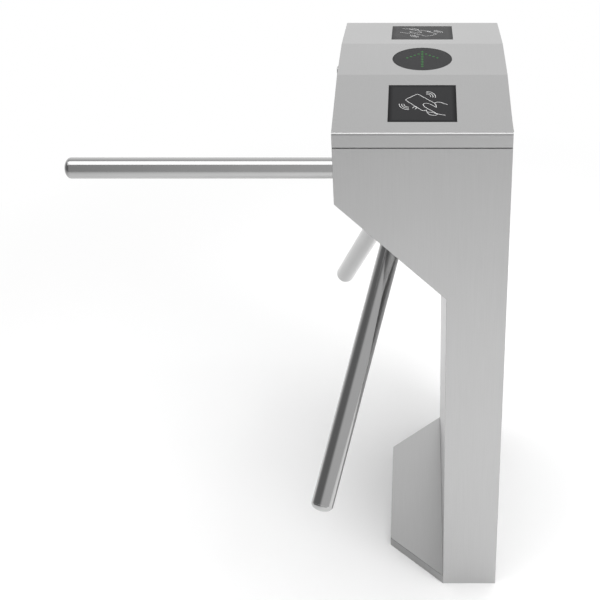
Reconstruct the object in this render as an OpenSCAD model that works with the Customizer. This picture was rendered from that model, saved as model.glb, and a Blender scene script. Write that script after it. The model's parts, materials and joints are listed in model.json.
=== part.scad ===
/* [Cabinet] */
// Width of the cabinet across the passage
cabinet_w = 280; // [260:1:320]
// Length of the cabinet along the passage
cabinet_l = 480; // [460:1:560]
// Height of the housing, from the floor to the seam under the lid
housing_h = 929.3; // [910:0.1:960]
// Width of the column that carries the cabinet
column_w = 100; // [92:1:110]
// Height of the upright edge above the slanted face, on the passage side
passage_edge_h = 98.3; // [88:0.1:112]
// Thickness of the stainless sheet
sheet_t = 2; // [1.5:0.1:2.5]
// Outer radius of the folds in the sheet
bend_r = 4; // [3:0.5:6]
// Width of the flange folded inwards round the top of the housing
flange_w = 22; // [20:0.5:26]

/* [Foot] */
// Thickness of the steel floor plate
floor_plate_t = 10; // [8:1:12]
// Height of the cover over the foot
foot_h = 20; // [16:1:26]
// Reach of the foot from the column towards the passage
foot_reach = 102.5; // [80:0.5:120]
// Radius of each anchor hole
anchor_hole_r = 7; // [5:0.5:8]
// Distance between the column's anchor holes across the passage
anchor_pitch_x = 50; // [40:1:56]
// Distance of the column's anchor holes from the ends of the cabinet
anchor_inset = 50; // [40:1:70]
// Distance between the two anchor holes under the foot cover
foot_anchor_pitch = 160; // [120:1:180]
// Bore of the grommet that the supply conduit comes up through
conduit_r = 20; // [16:1:22]

/* [Lid] */
// Height of the lid's upright edge at the front and the back
lid_edge_h = 24.2; // [21:0.1:30]
// Rise of the lid from its edge to its flat top
lid_rise = 24.9; // [20:0.1:30]
// Length of the flat top facet along the passage
lid_flat_l = 138.2; // [128:0.1:150]
// Height of the open seam between the housing and the lid
seam = 1.6; // [1.2:0.1:3]
// Side of each square reader window
window_w = 108; // [96:1:110]
// Radius of the round direction indicator
indicator_r = 50; // [44:1:54]
// Radius of the lock's head in the side of the lid
lock_head_r = 8; // [7:0.5:10]

/* [Arms] */
// Outer radius of the arm tubes
arm_r = 19; // [17:0.5:20]
// Wall of the arm tubes
arm_wall = 1.5; // [1:0.1:2.5]
// Distance from the rotor's centre to the tip of each arm
arm_reach = 614.8; // [520:0.1:640]
// Depth of the domed cap on each arm
arm_dome_h = 11; // [8:0.5:14]
// Depth of the rotor's centre behind the slanted face
hub_depth = 44.3; // [42:0.1:47]
// Distance of the rotor's axis above the middle of the slanted face
hub_rise = 0.64; // [0:0.01:3]

/* [Mechanism] */
// Number of teeth on the main gear
gear_teeth = 60; // [60:12:60]
// Size of each gear tooth, as pitch diameter per tooth
tooth_module = 2; // [1.8:0.05:2.1]
// Number of notches round the lock wheel
notch_count = 12; // [12:12:12]
// Radius of the main shaft
shaft_r = 12.5; // [11.5:0.1:13]
// Thickness of the steel chassis plate
chassis_t = 8; // [6:1:10]

/* [Hidden] */
$fn = 64;

// Overrun of every cut, gap between pieces that only meet, gap of a turning fit,
// gap round a bolt's shank, and the straight pieces of each rounded fold
overrun = 1;
gap = 0.3;
run_gap = 0.05;
bolt_gap = 0.4;
bend_steps = 4;
hex_sides = 6;
half_turn = 180;

// Places shared by the cabinet's pieces: X = 0 is the column's passage face and
// Y = 0 is mid-length, with the floor plate's underside at Z = 0
body_x0 = column_w - cabinet_w;
mid_x = (body_x0 + column_w) / 2;
half_l = cabinet_l / 2;
chamfer_top_h = housing_h - passage_edge_h;
chamfer_foot_h = chamfer_top_h + body_x0;
lid_z0 = housing_h + seam;
lid_z1 = lid_z0 + lid_edge_h;
lid_z2 = lid_z1 + lid_rise;
lid_run = half_l - lid_flat_l / 2;
lid_slope_angle = atan2(lid_rise, lid_run);
lid_slope_l = norm([lid_run, lid_rise]);
side_outline = [
    [0, 0], [column_w, 0], [column_w, housing_h],
    [body_x0, housing_h], [body_x0, chamfer_top_h], [0, chamfer_foot_h]
];
lid_outline = [
    [-half_l, lid_z0], [half_l, lid_z0], [half_l, lid_z1],
    [lid_flat_l / 2, lid_z2], [-lid_flat_l / 2, lid_z2], [-half_l, lid_z1]
];
foot_outline = [
    [column_w, -half_l], [column_w, half_l], [0, half_l],
    [-foot_reach, half_l - foot_reach], [-foot_reach, -half_l + foot_reach],
    [0, -half_l]
];

// The rotor's axis leaves the slanted face at 45 degrees. In the rotor's frame,
// p runs up the slanted face, q along the passage and u outwards along the axis.
tilt_angle = 45;
hub_x = mid_x - column_w / 2 + (hub_depth - hub_rise) * sin(tilt_angle);
hub_z = (chamfer_foot_h + chamfer_top_h) / 2 + (hub_depth + hub_rise) * sin(tilt_angle);
top_angle = 0;
far_angle = 120;
near_angle = 240;
arm_angles = [top_angle, far_angle, near_angle];

// Foot: places of the anchor and conduit holes, and the grommet
anchor_pitch_y = cabinet_l - 2 * anchor_inset;
foot_anchor_share = 0.62;
foot_anchor_x = -foot_reach * foot_anchor_share;
conduit_y = half_l / 3;
grommet_wall = 4;
grommet_lip = 6;
grommet_lip_h = 3;

// Column opening and its cover
panel_w = 300;
panel_z = 60;
panel_drop = 71;
panel_h = chamfer_foot_h - panel_drop - panel_z;
panel_corner_r = 10;
panel_gap = 1;
panel_land = 18;
panel_screw_r = 2.5;
panel_head_r = 4.5;
panel_head_h = 2.2;
panel_screw_inset = panel_land / 2;

// Lid seam: seal, hinges and keeper
seal_w = 10;
seal_inset = 6;
lid_flange_w = 16;
hinge_y = 150;
hinge_l = 60;
hinge_leaf_t = 1.5;
hinge_leaf_h = 24;
knuckle_r = 2.6;
knuckle_gap = 0.4;
pin_r = 1.2;
pin_head_r = 2;
hinge_x = column_w + knuckle_r;
hinge_z = housing_h + seam / 2;

// Lock in the lid's passage side
lock_rise = 2.9;
lock_z = lid_z1 + lock_rise;
lock_head_h = 4.5;
lock_head_lip = 2;
lock_head_edge = 1;
lock_body_r = lock_head_r - lock_head_lip;
lock_body_l = 12;
lock_nut_rim = 3.5;
lock_nut_r = lock_body_r + lock_nut_rim;
lock_nut_h = 4;
lock_wall = 1.8;
lock_plug_r = lock_body_r - lock_wall;
lock_cam_t = 2.5;
lock_cam_w = 10;
lock_cam_l = 20;
key_slot_w = 1.4;
key_slot_l = 5.6;
key_slot_depth = 3;
keeper_y0 = 11;
keeper_w = 15;
keeper_y1 = keeper_y0 + keeper_w;
keeper_t = 3;
keeper_drop = 24;
keeper_notch = 3;
lock_back_x = body_x0 + sheet_t + lock_body_l;
keeper_z1 = lock_z + lock_cam_w / 2 + gap + keeper_t;

// Reader windows, the modules behind them and the indicator
window_recess = 0.2;
window_t = 4;
window_gap = 0.3;
reader_rim = 8;
reader_h = 20;
reader_wall = 6;
reader_floor_h = 3;
lens_t = 3;
lens_gap = 0.3;
ring_w = 8;
indicator_h = 18;
indicator_ledge_r = 36;
led_board_t = 1.6;
led_r = 1.2;
led_h = 3;
led_board_drop = window_recess + lens_t + gap + led_h;
arrow_half_l = 37.4;
arrow_shaft_count = 10;
arrow_head_count = 5;
arrow_head_x = 25.5;
arrow_head_y = 5.8;
arrow_tip_y = 31;

// Hub: a truncated cone whose 45 degree face the three arms leave squarely
hub_rim_gap = 2;
hub_rim_r = 86;
hub_rim_h = 3;
hub_face_r = 40;
hub_back_u = 8;
hub_back_r = 50;
hub_edge = 2;
hub_rim_u0 = hub_depth - hub_rim_h;
hub_rim_u1 = hub_depth + hub_rim_h;
hub_face_u = hub_rim_u1 + hub_rim_r - hub_face_r;
hub_cup_r = 33;
hub_cup_floor_r = 12;
hub_cup_u = hub_face_u - hub_cup_r + hub_cup_floor_r;
hub_web = 22;
socket_s = 45;
socket_gap = 0.1;
collar_w = 6;
collar_s0 = 60;
collar_s1 = 99;
hub_cap_t = 2.5;
hub_cap_r = 38;
hub_cap_ring_w = 3;
hub_cap_ring_h = 4;

// Arm tubes, their root plugs and end caps
plug_l = 46;
cap_plug_l = 12;
tube_end_s = arm_reach - arm_dome_h;
tube_bore_r = arm_r - arm_wall;
dome_steps = 8;

// Bolts in the hub: one across each arm's root, and one into the shaft
arm_bolt_r = 4;
arm_bolt_head_r = 6.5;
arm_bolt_head_h = 8;
arm_bolt_l = 52;
arm_bolt_rho = 20;
arm_bolt_sink = 1;
arm_bolt_u = hub_cup_u + arm_bolt_rho - hub_cup_floor_r;
shaft_bolt_r = 5;
shaft_bolt_head_r = 8;
shaft_bolt_head_h = 6;
shaft_bolt_l = 40;
hex_key_r = 3.2;

// Chassis behind the slanted face
chassis_u = -8;
chassis_back_u = chassis_u - chassis_t;
chassis_half_p = 118;
chassis_q0 = -150;
chassis_q1 = 194;
chassis_corner_r = 12;
post_r = 8;
post_p = 82;
post_q0 = -134;
post_q1 = 178;
stud_r = 4;
stud_end = 3;
nut_r = 7.5;
nut_h = 6.5;
flange_screw_r = 3;
flange_screw_head_r = 5;
flange_screw_head_h = 6;

// Bearing housing and its two bearings
bearing_r = 26;
bearing_t = 15;
bearing_wall = 7;
bearing_lip = 3;
bearing_span = 20;
bearing_step_r = 21;
bearing_groove_w = 7;
bearing_groove_depth = 1;
cartridge_flange_t = 10;
cartridge_flange_r = 48;
cartridge_screw_ring_r = 41;
cartridge_screws = 4;
cartridge_r = bearing_r + bearing_wall;
bearing_u1 = chassis_u - bearing_lip;
bearing_u2 = bearing_u1 - bearing_t;
bearing_u3 = bearing_u2 - bearing_span;
bearing_u4 = bearing_u3 - bearing_t;
cartridge_back_u = bearing_u4 - bearing_lip;
shoulder_r = 16;

// Wheels on the main shaft, from the bearings inwards
wheel_boss_r = 20;
wheel_boss_h = 4;
wheel_space = 3;
lock_wheel_t = 8;
lock_wheel_r = 55;
lock_wheel_hole_r = 7;
lock_wheel_hole_ring_r = 32;
notch_depth = 9;
notch_tip_w = 13;
notch_root_w = 10;
wheel_u1 = cartridge_back_u - wheel_boss_h - wheel_space;
wheel_u0 = wheel_u1 - lock_wheel_t;
gear_t = 10;
gear_u1 = wheel_u0 - 2 * wheel_boss_h;
gear_u0 = gear_u1 - gear_t;
pinion_teeth = gear_teeth / 3;
pressure_angle = 20;
backlash = 0.5;
dedendum_share = 1.25;
gear_pitch_r = gear_teeth * tooth_module / 2;
pinion_pitch_r = pinion_teeth * tooth_module / 2;
crank_q = gear_pitch_r + pinion_pitch_r + backlash / 2;
gear_hole_r = 12;
gear_hole_ring_r = 38;
gear_holes = 6;
encoder_t = 2;
encoder_r = 45;
encoder_slot_l = 8;
encoder_slot_w = 5;
encoder_slot_inset = 2;
encoder_u1 = gear_u0 - 2 * wheel_boss_h;
encoder_u0 = encoder_u1 - encoder_t;
shaft_step_u = encoder_u0 - wheel_boss_h;
shaft_nut_h = 8;
shaft_nut_r = 17;
thread_r = 9;
shaft_end_u = shaft_step_u - shaft_nut_h - stud_end;
shaft_front_u = hub_cup_u - hub_web;

// Pawls that drop into the lock wheel, and the solenoids that pull them
pawl_swing_angle = 11.5;
pawl_side_angle = 300;
pawl_arm = 45;
pawl_tail = 32;
pawl_depth = 7.5;
pawl_tip_w = 6;
pawl_root_w = 9;
pawl_nose_w = 14;
pawl_nose_h = 10;
pawl_boss_r = 9;
pawl_tail_r = 6;
pawl_bar_w = 10;
pawl_edge_r = 2;
pawl_pin_r = 5;
pawl_post_r = 8;
clip_h = 2.5;
pawl_level = lock_wheel_r - notch_depth / 3;
pawl_p = pawl_level * cos(pawl_side_angle) + pawl_arm * sin(-pawl_side_angle);
pawl_q = pawl_level * sin(pawl_side_angle) + pawl_arm * cos(pawl_side_angle);
tail_p = pawl_p + pawl_tail * cos(pawl_swing_angle / 2);
tail_q = pawl_q + pawl_tail * sin(pawl_swing_angle / 2);
pawl_u = (wheel_u0 + wheel_u1) / 2;
link_r = 2;
link_gap = 0.5;
fork_t = 3;
fork_gap = 0.6;
fork_half_w = 6.5;
fork_l = 24;
fork_root_l = 13;
plunger_r = 6;
plunger_l = 50;
plunger_gap = 0.4;
solenoid_w = 32;
solenoid_l = 56;
solenoid_drop = 34;
solenoid_frame_t = 3;
coil_r = 12;
bracket_t = 3;
bracket_w = 26;
bracket_foot = 14;

// Crank that the gear turns three times for each turn of the arms
crank_r = 26;
crank_t = 6;
crank_throw = 18;
crank_shaft_r = 8;
crank_pin_r = 3;
crank_pin_l = 14;
crank_u1 = gear_u0 - wheel_space;
crank_u0 = crank_u1 - crank_t;
damper_r = 24;
damper_h = 38;
damper_flange_r = 31;
damper_flange_t = 5;
damper_screw_ring_r = 27.5;
damper_screw_r = 2;
damper_screw_head_r = 3;
damper_screw_head_h = 3;
damper_grooves = 3;
damper_groove_w = 3;
damper_groove_depth = 2;

// Tension spring that pulls the crank's pin home
spring_wire_r = 1.25;
spring_coil_r = 7;
spring_turns = 14;
spring_pitch = 3.3;
spring_sides = 6;
spring_steps = 8;
hook_wrap_angle = 210;
hook_steps = 6;
spring_post_q = 178;
spring_post_foot_r = 9;
spring_post_foot_h = 6;
spring_post_r = spring_coil_r - spring_wire_r - gap;
spring_pin_q = crank_q + crank_throw;
spring_u = crank_u0 - crank_pin_l / 2;
spring_bush_r = spring_coil_r - spring_wire_r - gap;

// Sensor that reads the slotted disc
sensor_w = 14;
sensor_in = 11;
sensor_out = 10;
sensor_h = 11;
sensor_slot_h = 5;
sensor_slot_l = 5;
sensor_post_w = 8;
sensor_post_p = 78;
sensor_arm_t = 3;
sensor_u = (encoder_u0 + encoder_u1) / 2;

// Column equipment
plate_t = 2;
plate_half_w = 110;
plate_h = 300;
plate_drop = 51;
plate_z0 = chamfer_foot_h - plate_drop - plate_h;
supply_w = 100;
supply_h = 160;
supply_d = 40;
supply_rise = 125;
supply_z = plate_z0 + supply_rise;
supply_slots = 12;
supply_slot_w = 3;
supply_slot_l = 70;
supply_slot_depth = 1.5;
rail_l = 200;
rail_rise = 50;
rail_z = plate_z0 + rail_rise;
rail_h = 35;
rail_web_share = 0.7;
rail_d = 7.5;
rail_t = 1;
block_w = 8;
block_pitch = 8.5;
block_count = 14;
block_h = 50;
block_d = 36;
block_hole_r = 1.6;
block_hole_depth = 6;
block_hole_z = 17;

// Control board on the outer wall
board_l = 170;
board_h = 100;
board_t = 1.6;
board_drop = 10;
board_z = housing_h - board_drop - board_h;
board_standoff = 8;
board_inset = 6;
spacer_r = 3.5;
relay_w = 16;
relay_l = 20;
relay_h = 15;
relay_count = 4;
relay_row_share = 0.62;
chip_w = 14;
chip_l = 10;
chip_h = 1.5;
chip_place_share = 0.2;
chip_row_shares = [0.3, 0.45];
header_h = 10;
header_d = 8;
header_l = 120;
header_inset = 3;
capacitor_r = 6;
capacitor_h = 14;
capacitor_count = 3;
capacitor_place_share = -0.3;
capacitor_row_share = 0.36;

function unit(v) = v / norm(v);
function turn_left(v) = [-v.y, v.x];
function cross2(a, b) = a.x * b.y - a.y * b.x;

// A corner b between a and c as the points of an arc of radius r, or b itself
function corner(a, b, c, r) =
    r == 0 ? [b] :
    let (
        to_a = unit(a - b),
        to_c = unit(c - b),
        half = acos(to_a * to_c) / 2,
        start = b + to_a * r / tan(half),
        end = b + to_c * r / tan(half),
        middle = b + unit(to_a + to_c) * r / sin(half),
        from = atan2(start.y - middle.y, start.x - middle.x),
        sweep = sign(cross2(start - middle, end - middle)) * (half_turn - 2 * half)
    )
    [for (i = [0:bend_steps])
        middle + r * [cos(from + sweep * i / bend_steps), sin(from + sweep * i / bend_steps)]];

// An outline with a radius given for each of its corners
function rounded(points, radii) =
    let (n = len(points))
    [for (i = [0:n - 1])
        each corner(points[(i + n - 1) % n], points[i], points[(i + 1) % n], radii[i])];

function all_round(points, r) = rounded(points, [for (p = points) r]);

// An anticlockwise outline moved inwards by d
function inset(points, d) =
    let (n = len(points))
    [for (i = [0:n - 1])
        let (
            side = turn_left(unit(points[i] - points[(i + n - 1) % n])),
            next = turn_left(unit(points[(i + 1) % n] - points[i]))
        )
        points[i] + (side + next) * d / (1 + side * next)];

function box_outline(lo, hi) = [lo, [hi.x, lo.y], hi, [lo.x, hi.y]];

module block(lo, hi) {
    translate(lo) cube(hi - lo);
}

module rod(r, z0, z1) {
    translate([0, 0, z0]) cylinder(r = r, h = z1 - z0);
}

module hex_rod(r, z0, z1) {
    translate([0, 0, z0]) cylinder(r = r, h = z1 - z0, $fn = hex_sides);
}

module ring(r, bore_r, z0, z1) {
    difference() {
        rod(r, z0, z1);
        rod(bore_r, z0 - overrun, z1 + overrun);
    }
}

// An outline in X and Z carried along Y, and one in Y and Z carried along X
module along_y(y0, y1) {
    translate([0, y1, 0]) rotate([90, 0, 0]) linear_extrude(y1 - y0) children();
}

module along_x(x0, x1) {
    translate([x0, 0, 0]) rotate([90, 0, 90]) linear_extrude(x1 - x0) children();
}

module in_rotor_frame() {
    translate([hub_x, 0, hub_z]) rotate([0, 180 + tilt_angle, 0]) children();
}

// Socket cap screw with its head's underside at Z = 0 and its shank downwards
module cap_screw(r, head_r, head_h, length) {
    difference() {
        union() {
            rod(head_r, 0, head_h);
            rod(r, -length, overrun);
        }
        hex_rod(min(hex_key_r, head_r / 2), head_h / 3, head_h + overrun);
    }
}

// Cabinet

module housing() {
    fold_out = [0, 0, 0, 0, bend_r, bend_r - sheet_t];
    fold_in = [0, 0, 0, 0, bend_r - sheet_t, bend_r];
    inner_l = half_l - sheet_t;
    color("silver") difference() {
        along_y(-half_l, half_l) polygon(rounded(side_outline, fold_out));
        along_y(-inner_l, inner_l) polygon(rounded(inset(side_outline, sheet_t), fold_in));
        block([sheet_t, -inner_l, -overrun], [column_w - sheet_t, inner_l, 2 * sheet_t]);
        block([-overrun, -inner_l, -overrun], [2 * sheet_t, inner_l, floor_plate_t]);
        block(
            [body_x0 + flange_w, -half_l + flange_w, housing_h - 2 * sheet_t],
            [column_w - flange_w, half_l - flange_w, housing_h + overrun]
        );
        in_rotor_frame()
            rod(hub_rim_r + hub_rim_gap, hub_depth - 2 * sheet_t, hub_depth + overrun);
        along_x(column_w - 2 * sheet_t, column_w + overrun) panel_shape(0);
    }
}

module panel_shape(grow) {
    polygon(all_round(
        box_outline(
            [-panel_w / 2 - grow, panel_z - grow],
            [panel_w / 2 + grow, panel_z + panel_h + grow]
        ),
        panel_corner_r + grow
    ));
}

module at_panel_screws() {
    reach_y = panel_w / 2 - panel_screw_inset;
    for (y = [-reach_y, reach_y])
        for (z = [0, 0.5, 1])
            translate([
                column_w, y,
                panel_z + panel_screw_inset + z * (panel_h - 2 * panel_screw_inset)
            ])
                rotate([0, 90, 0]) children();
}

module panel_frame() {
    color("gray") difference() {
        along_x(column_w - 2 * sheet_t, column_w - sheet_t) panel_shape(panel_corner_r);
        along_x(column_w - 3 * sheet_t, column_w) panel_shape(-panel_land);
        at_panel_screws() rod(panel_screw_r, -3 * sheet_t, overrun);
    }
}

module access_panel() {
    color("silver") difference() {
        along_x(column_w - sheet_t, column_w) panel_shape(-panel_gap);
        at_panel_screws() rod(panel_screw_r + bolt_gap, -2 * sheet_t, overrun);
    }
}

module panel_screws() {
    color("dimgray") at_panel_screws()
        cap_screw(panel_screw_r - run_gap, panel_head_r, panel_head_h, 3 * sheet_t);
}

module floor_plate() {
    color("dimgray") difference() {
        linear_extrude(floor_plate_t) polygon(inset(foot_outline, sheet_t + gap));
        for (x = [-anchor_pitch_x / 2, anchor_pitch_x / 2])
            for (y = [-anchor_pitch_y / 2, anchor_pitch_y / 2])
                translate([column_w / 2 + x, y, 0])
                    rod(anchor_hole_r, -overrun, floor_plate_t + overrun);
        for (y = [-foot_anchor_pitch / 2, foot_anchor_pitch / 2])
            translate([foot_anchor_x, y, 0])
                rod(anchor_hole_r, -overrun, floor_plate_t + overrun);
        translate([column_w / 2, conduit_y, 0])
            rod(conduit_r + grommet_wall, -overrun, floor_plate_t + overrun);
    }
}

module foot_cover() {
    color("silver") difference() {
        linear_extrude(foot_h)
            polygon([for (i = [2:5]) foot_outline[i]]);
        translate([0, 0, -overrun]) linear_extrude(foot_h - sheet_t + overrun)
            polygon(inset(foot_outline, sheet_t));
    }
}

module conduit_grommet() {
    color("black") translate([column_w / 2, conduit_y, 0]) difference() {
        union() {
            rod(conduit_r + grommet_wall - run_gap, gap, floor_plate_t + grommet_lip_h);
            rod(
                conduit_r + grommet_wall + grommet_lip,
                floor_plate_t, floor_plate_t + grommet_lip_h
            );
        }
        rod(conduit_r, -overrun, floor_plate_t + grommet_lip_h + overrun);
    }
}

module lid_seal() {
    lo = [body_x0 + seal_inset, -half_l + seal_inset];
    hi = [column_w - seal_inset, half_l - seal_inset];
    color("black") translate([0, 0, housing_h]) linear_extrude(seam - gap) difference() {
        polygon(all_round(box_outline(lo, hi), seal_inset));
        polygon(box_outline(lo + [seal_w, seal_w], hi - [seal_w, seal_w]));
    }
}

module lock_keeper() {
    x0 = body_x0 + flange_w;
    color("gray") union() {
        block(
            [x0, keeper_y0, housing_h - keeper_drop],
            [x0 + keeper_t, keeper_y1, keeper_z1]
        );
        block(
            [lock_back_x - keeper_t, keeper_y0, keeper_z1 - keeper_t],
            [x0 + keeper_t, keeper_y1, keeper_z1]
        );
    }
}

// Hinge leaves: a plate on the face and knuckles on the hinge line; side is 1 on
// the lid, with the middle knuckle, and -1 on the housing, with the outer two
module hinge_leaves(side) {
    third = hinge_l / 3;
    spans = side > 0
        ? [[-third / 2 + knuckle_gap, third / 2 - knuckle_gap]]
        : [[-hinge_l / 2, -third / 2], [third / 2, hinge_l / 2]];
    face_z = hinge_z + side * (knuckle_r + knuckle_gap);
    far_z = hinge_z + side * hinge_leaf_h;
    for (y = [-hinge_y, hinge_y])
        translate([0, y, 0]) difference() {
            union() {
                block(
                    [column_w, -hinge_l / 2, min(face_z, far_z)],
                    [column_w + hinge_leaf_t, hinge_l / 2, max(face_z, far_z)]
                );
                for (s = spans) {
                    block(
                        [column_w, s[0], min(hinge_z, far_z)],
                        [column_w + hinge_leaf_t, s[1], max(hinge_z, far_z)]
                    );
                    translate([hinge_x, 0, hinge_z]) rotate([-90, 0, 0])
                        rod(knuckle_r, s[0], s[1]);
                }
            }
            translate([hinge_x, 0, hinge_z]) rotate([-90, 0, 0])
                rod(pin_r + run_gap, -hinge_l, hinge_l);
        }
}

module body_hinge_leaves() {
    color("gray") hinge_leaves(-1);
}

module hinge_pins() {
    color("lightgray") for (y = [-hinge_y, hinge_y])
        translate([hinge_x, y, hinge_z]) rotate([-90, 0, 0]) {
            rod(pin_r, -hinge_l / 2, hinge_l / 2 + knuckle_gap);
            rod(pin_head_r, hinge_l / 2 + knuckle_gap, hinge_l / 2 + 2 * knuckle_gap + pin_r);
        }
}

// Chassis and bearings

module at_posts() {
    for (p = [-post_p, post_p])
        for (q = [post_q0, post_q1])
            translate([p, q, 0]) children();
}

module at_cartridge_screws() {
    for (i = [0:cartridge_screws - 1])
        rotate([0, 0, (i + 0.5) * 360 / cartridge_screws])
            translate([cartridge_screw_ring_r, 0, 0]) children();
}

module at_damper_screws() {
    translate([0, crank_q, 0])
        for (a = [0, 180])
            rotate([0, 0, a]) translate([damper_screw_ring_r, 0, 0]) children();
}

module chassis_plate() {
    color("slategray") in_rotor_frame() difference() {
        translate([0, 0, chassis_back_u]) linear_extrude(chassis_t)
            polygon(all_round(
                box_outline([-chassis_half_p, chassis_q0], [chassis_half_p, chassis_q1]),
                chassis_corner_r
            ));
        rod(cartridge_r + run_gap, chassis_back_u - overrun, chassis_u + overrun);
        at_posts() rod(stud_r + bolt_gap, chassis_back_u - overrun, chassis_u + overrun);
        at_cartridge_screws() rod(flange_screw_r, chassis_back_u - overrun, chassis_u + overrun);
        at_damper_screws() rod(damper_screw_r, chassis_back_u - overrun, chassis_u + overrun);
    }
}

module chassis_posts() {
    color("lightgray") in_rotor_frame() at_posts() {
        rod(post_r, chassis_u, hub_depth - sheet_t);
        rod(stud_r, chassis_back_u - nut_h - stud_end, chassis_u + overrun);
    }
}

module chassis_fasteners() {
    color("lightgray") in_rotor_frame() {
        at_posts() difference() {
            hex_rod(nut_r, chassis_back_u - nut_h, chassis_back_u);
            rod(stud_r + run_gap, chassis_back_u - nut_h - overrun, chassis_back_u + overrun);
        }
        at_cartridge_screws() translate([0, 0, chassis_back_u - cartridge_flange_t])
            rotate([180, 0, 0])
                cap_screw(
                    flange_screw_r - run_gap, flange_screw_head_r, flange_screw_head_h,
                    cartridge_flange_t + chassis_t
                );
        at_damper_screws() translate([0, 0, chassis_back_u - damper_flange_t])
            rotate([180, 0, 0])
                cap_screw(
                    damper_screw_r - run_gap, damper_screw_head_r, damper_screw_head_h,
                    damper_flange_t + chassis_t
                );
    }
}

module bearing_housing() {
    flange_u = chassis_back_u - cartridge_flange_t;
    color("gray") in_rotor_frame() difference() {
        union() {
            rod(cartridge_r, cartridge_back_u, chassis_u);
            rod(cartridge_flange_r, flange_u, chassis_back_u);
        }
        rod(bearing_r, bearing_u2, chassis_u + overrun);
        rod(bearing_step_r, bearing_u3 - overrun, bearing_u2 + overrun);
        rod(bearing_r, cartridge_back_u - overrun, bearing_u3);
        at_cartridge_screws()
            rod(flange_screw_r + bolt_gap, flange_u - overrun, chassis_back_u + overrun);
    }
}

module shaft_bearings() {
    groove_r = (bearing_r + shaft_r + bearing_groove_w) / 2;
    color("lightsteelblue") in_rotor_frame() for (u1 = [bearing_u1, bearing_u3])
        difference() {
            ring(bearing_r - run_gap, shaft_r + run_gap, u1 - bearing_t, u1);
            ring(groove_r, groove_r - bearing_groove_w, u1 - bearing_groove_depth, u1 + overrun);
            ring(
                groove_r, groove_r - bearing_groove_w,
                u1 - bearing_t - overrun, u1 - bearing_t + bearing_groove_depth
            );
        }
}

// Rotor

module main_shaft() {
    bolt_end_u = shaft_front_u + hub_web - shaft_bolt_l - stud_end;
    color("lightgray") in_rotor_frame() difference() {
        union() {
            rod(shaft_r, shaft_step_u, shaft_front_u);
            rod(shoulder_r, bearing_u1, hub_back_u);
            rod(thread_r, shaft_end_u, shaft_step_u + overrun);
        }
        rod(shaft_bolt_r + run_gap, bolt_end_u, shaft_front_u + overrun);
    }
}

module shaft_spacers() {
    color("lightgray") in_rotor_frame() {
        ring(shoulder_r, shaft_r + run_gap, bearing_u3, bearing_u2);
        ring(shoulder_r, shaft_r + run_gap, wheel_u1 + wheel_boss_h, bearing_u4);
    }
}

module at_arm(turn) {
    rotate([0, 0, turn]) rotate([0, tilt_angle, 0]) children();
}

// The bolt across an arm's root, with the head's underside at Z = 0, heading down
module at_arm_bolt(turn) {
    rotate([0, 0, turn]) translate([arm_bolt_rho, 0, arm_bolt_u]) rotate([0, -tilt_angle, 0])
        translate([0, 0, -arm_bolt_sink]) children();
}

module arm_hub() {
    profile = [
        [0, hub_back_u], [hub_back_r, hub_back_u],
        [hub_rim_r - hub_edge, hub_rim_u0], [hub_rim_r, hub_rim_u0 + hub_edge],
        [hub_rim_r, hub_rim_u1], [hub_face_r + hub_edge, hub_face_u - hub_edge],
        [hub_face_r - hub_edge, hub_face_u], [hub_cup_r, hub_face_u],
        [hub_cup_floor_r, hub_cup_u], [0, hub_cup_u]
    ];
    color("gainsboro") in_rotor_frame() difference() {
        union() {
            rotate_extrude() polygon(profile);
            for (turn = arm_angles) at_arm(turn) rod(arm_r + collar_w, collar_s0, collar_s1);
        }
        rod(shaft_r + run_gap, hub_back_u - overrun, shaft_front_u);
        rod(shaft_bolt_r + bolt_gap, hub_back_u, hub_cup_u + overrun);
        for (turn = arm_angles) {
            at_arm(turn) rod(arm_r + socket_gap, socket_s, collar_s1 + overrun);
            at_arm_bolt(turn) rod(arm_bolt_r + bolt_gap, -arm_bolt_l - overrun, overrun);
            at_arm_bolt(turn) rod(arm_bolt_head_r + bolt_gap, 0, hub_cup_r);
        }
    }
}

module hub_cap() {
    ring_r = hub_cup_r - gap;
    color("silver") in_rotor_frame() translate([0, 0, hub_face_u]) {
        rotate_extrude() polygon([
            [0, 0], [hub_cap_r, 0], [hub_cap_r, hub_cap_t / 2],
            [hub_cap_r - hub_cap_t, hub_cap_t], [0, hub_cap_t]
        ]);
        rotate_extrude() polygon([
            [ring_r - hub_cap_ring_w - hub_cap_ring_h, -hub_cap_ring_h],
            [ring_r - hub_cap_ring_h, -hub_cap_ring_h], [ring_r, 0],
            [ring_r - hub_cap_ring_w - hub_cap_ring_h, 0]
        ]);
    }
}

module hub_bolts() {
    color("dimgray") in_rotor_frame() {
        for (turn = arm_angles) at_arm_bolt(turn)
            cap_screw(arm_bolt_r, arm_bolt_head_r, arm_bolt_head_h, arm_bolt_l);
        translate([0, 0, hub_cup_u])
            cap_screw(shaft_bolt_r, shaft_bolt_head_r, shaft_bolt_head_h, shaft_bolt_l);
    }
}

module arm_tube(turn) {
    color("whitesmoke") in_rotor_frame() difference() {
        at_arm(turn) ring(arm_r, tube_bore_r, socket_s, tube_end_s);
        at_arm_bolt(turn) rod(arm_bolt_r + bolt_gap, -arm_bolt_l - overrun, 0);
    }
}

module arm_tube_top() {
    arm_tube(top_angle);
}

module arm_tube_near() {
    arm_tube(near_angle);
}

module arm_tube_far() {
    arm_tube(far_angle);
}

module arm_root_plugs() {
    color("gray") in_rotor_frame() for (turn = arm_angles) difference() {
        at_arm(turn) rod(tube_bore_r - socket_gap, socket_s, socket_s + plug_l);
        at_arm_bolt(turn) rod(arm_bolt_r + run_gap, -arm_bolt_l - overrun, 0);
    }
}

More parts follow.
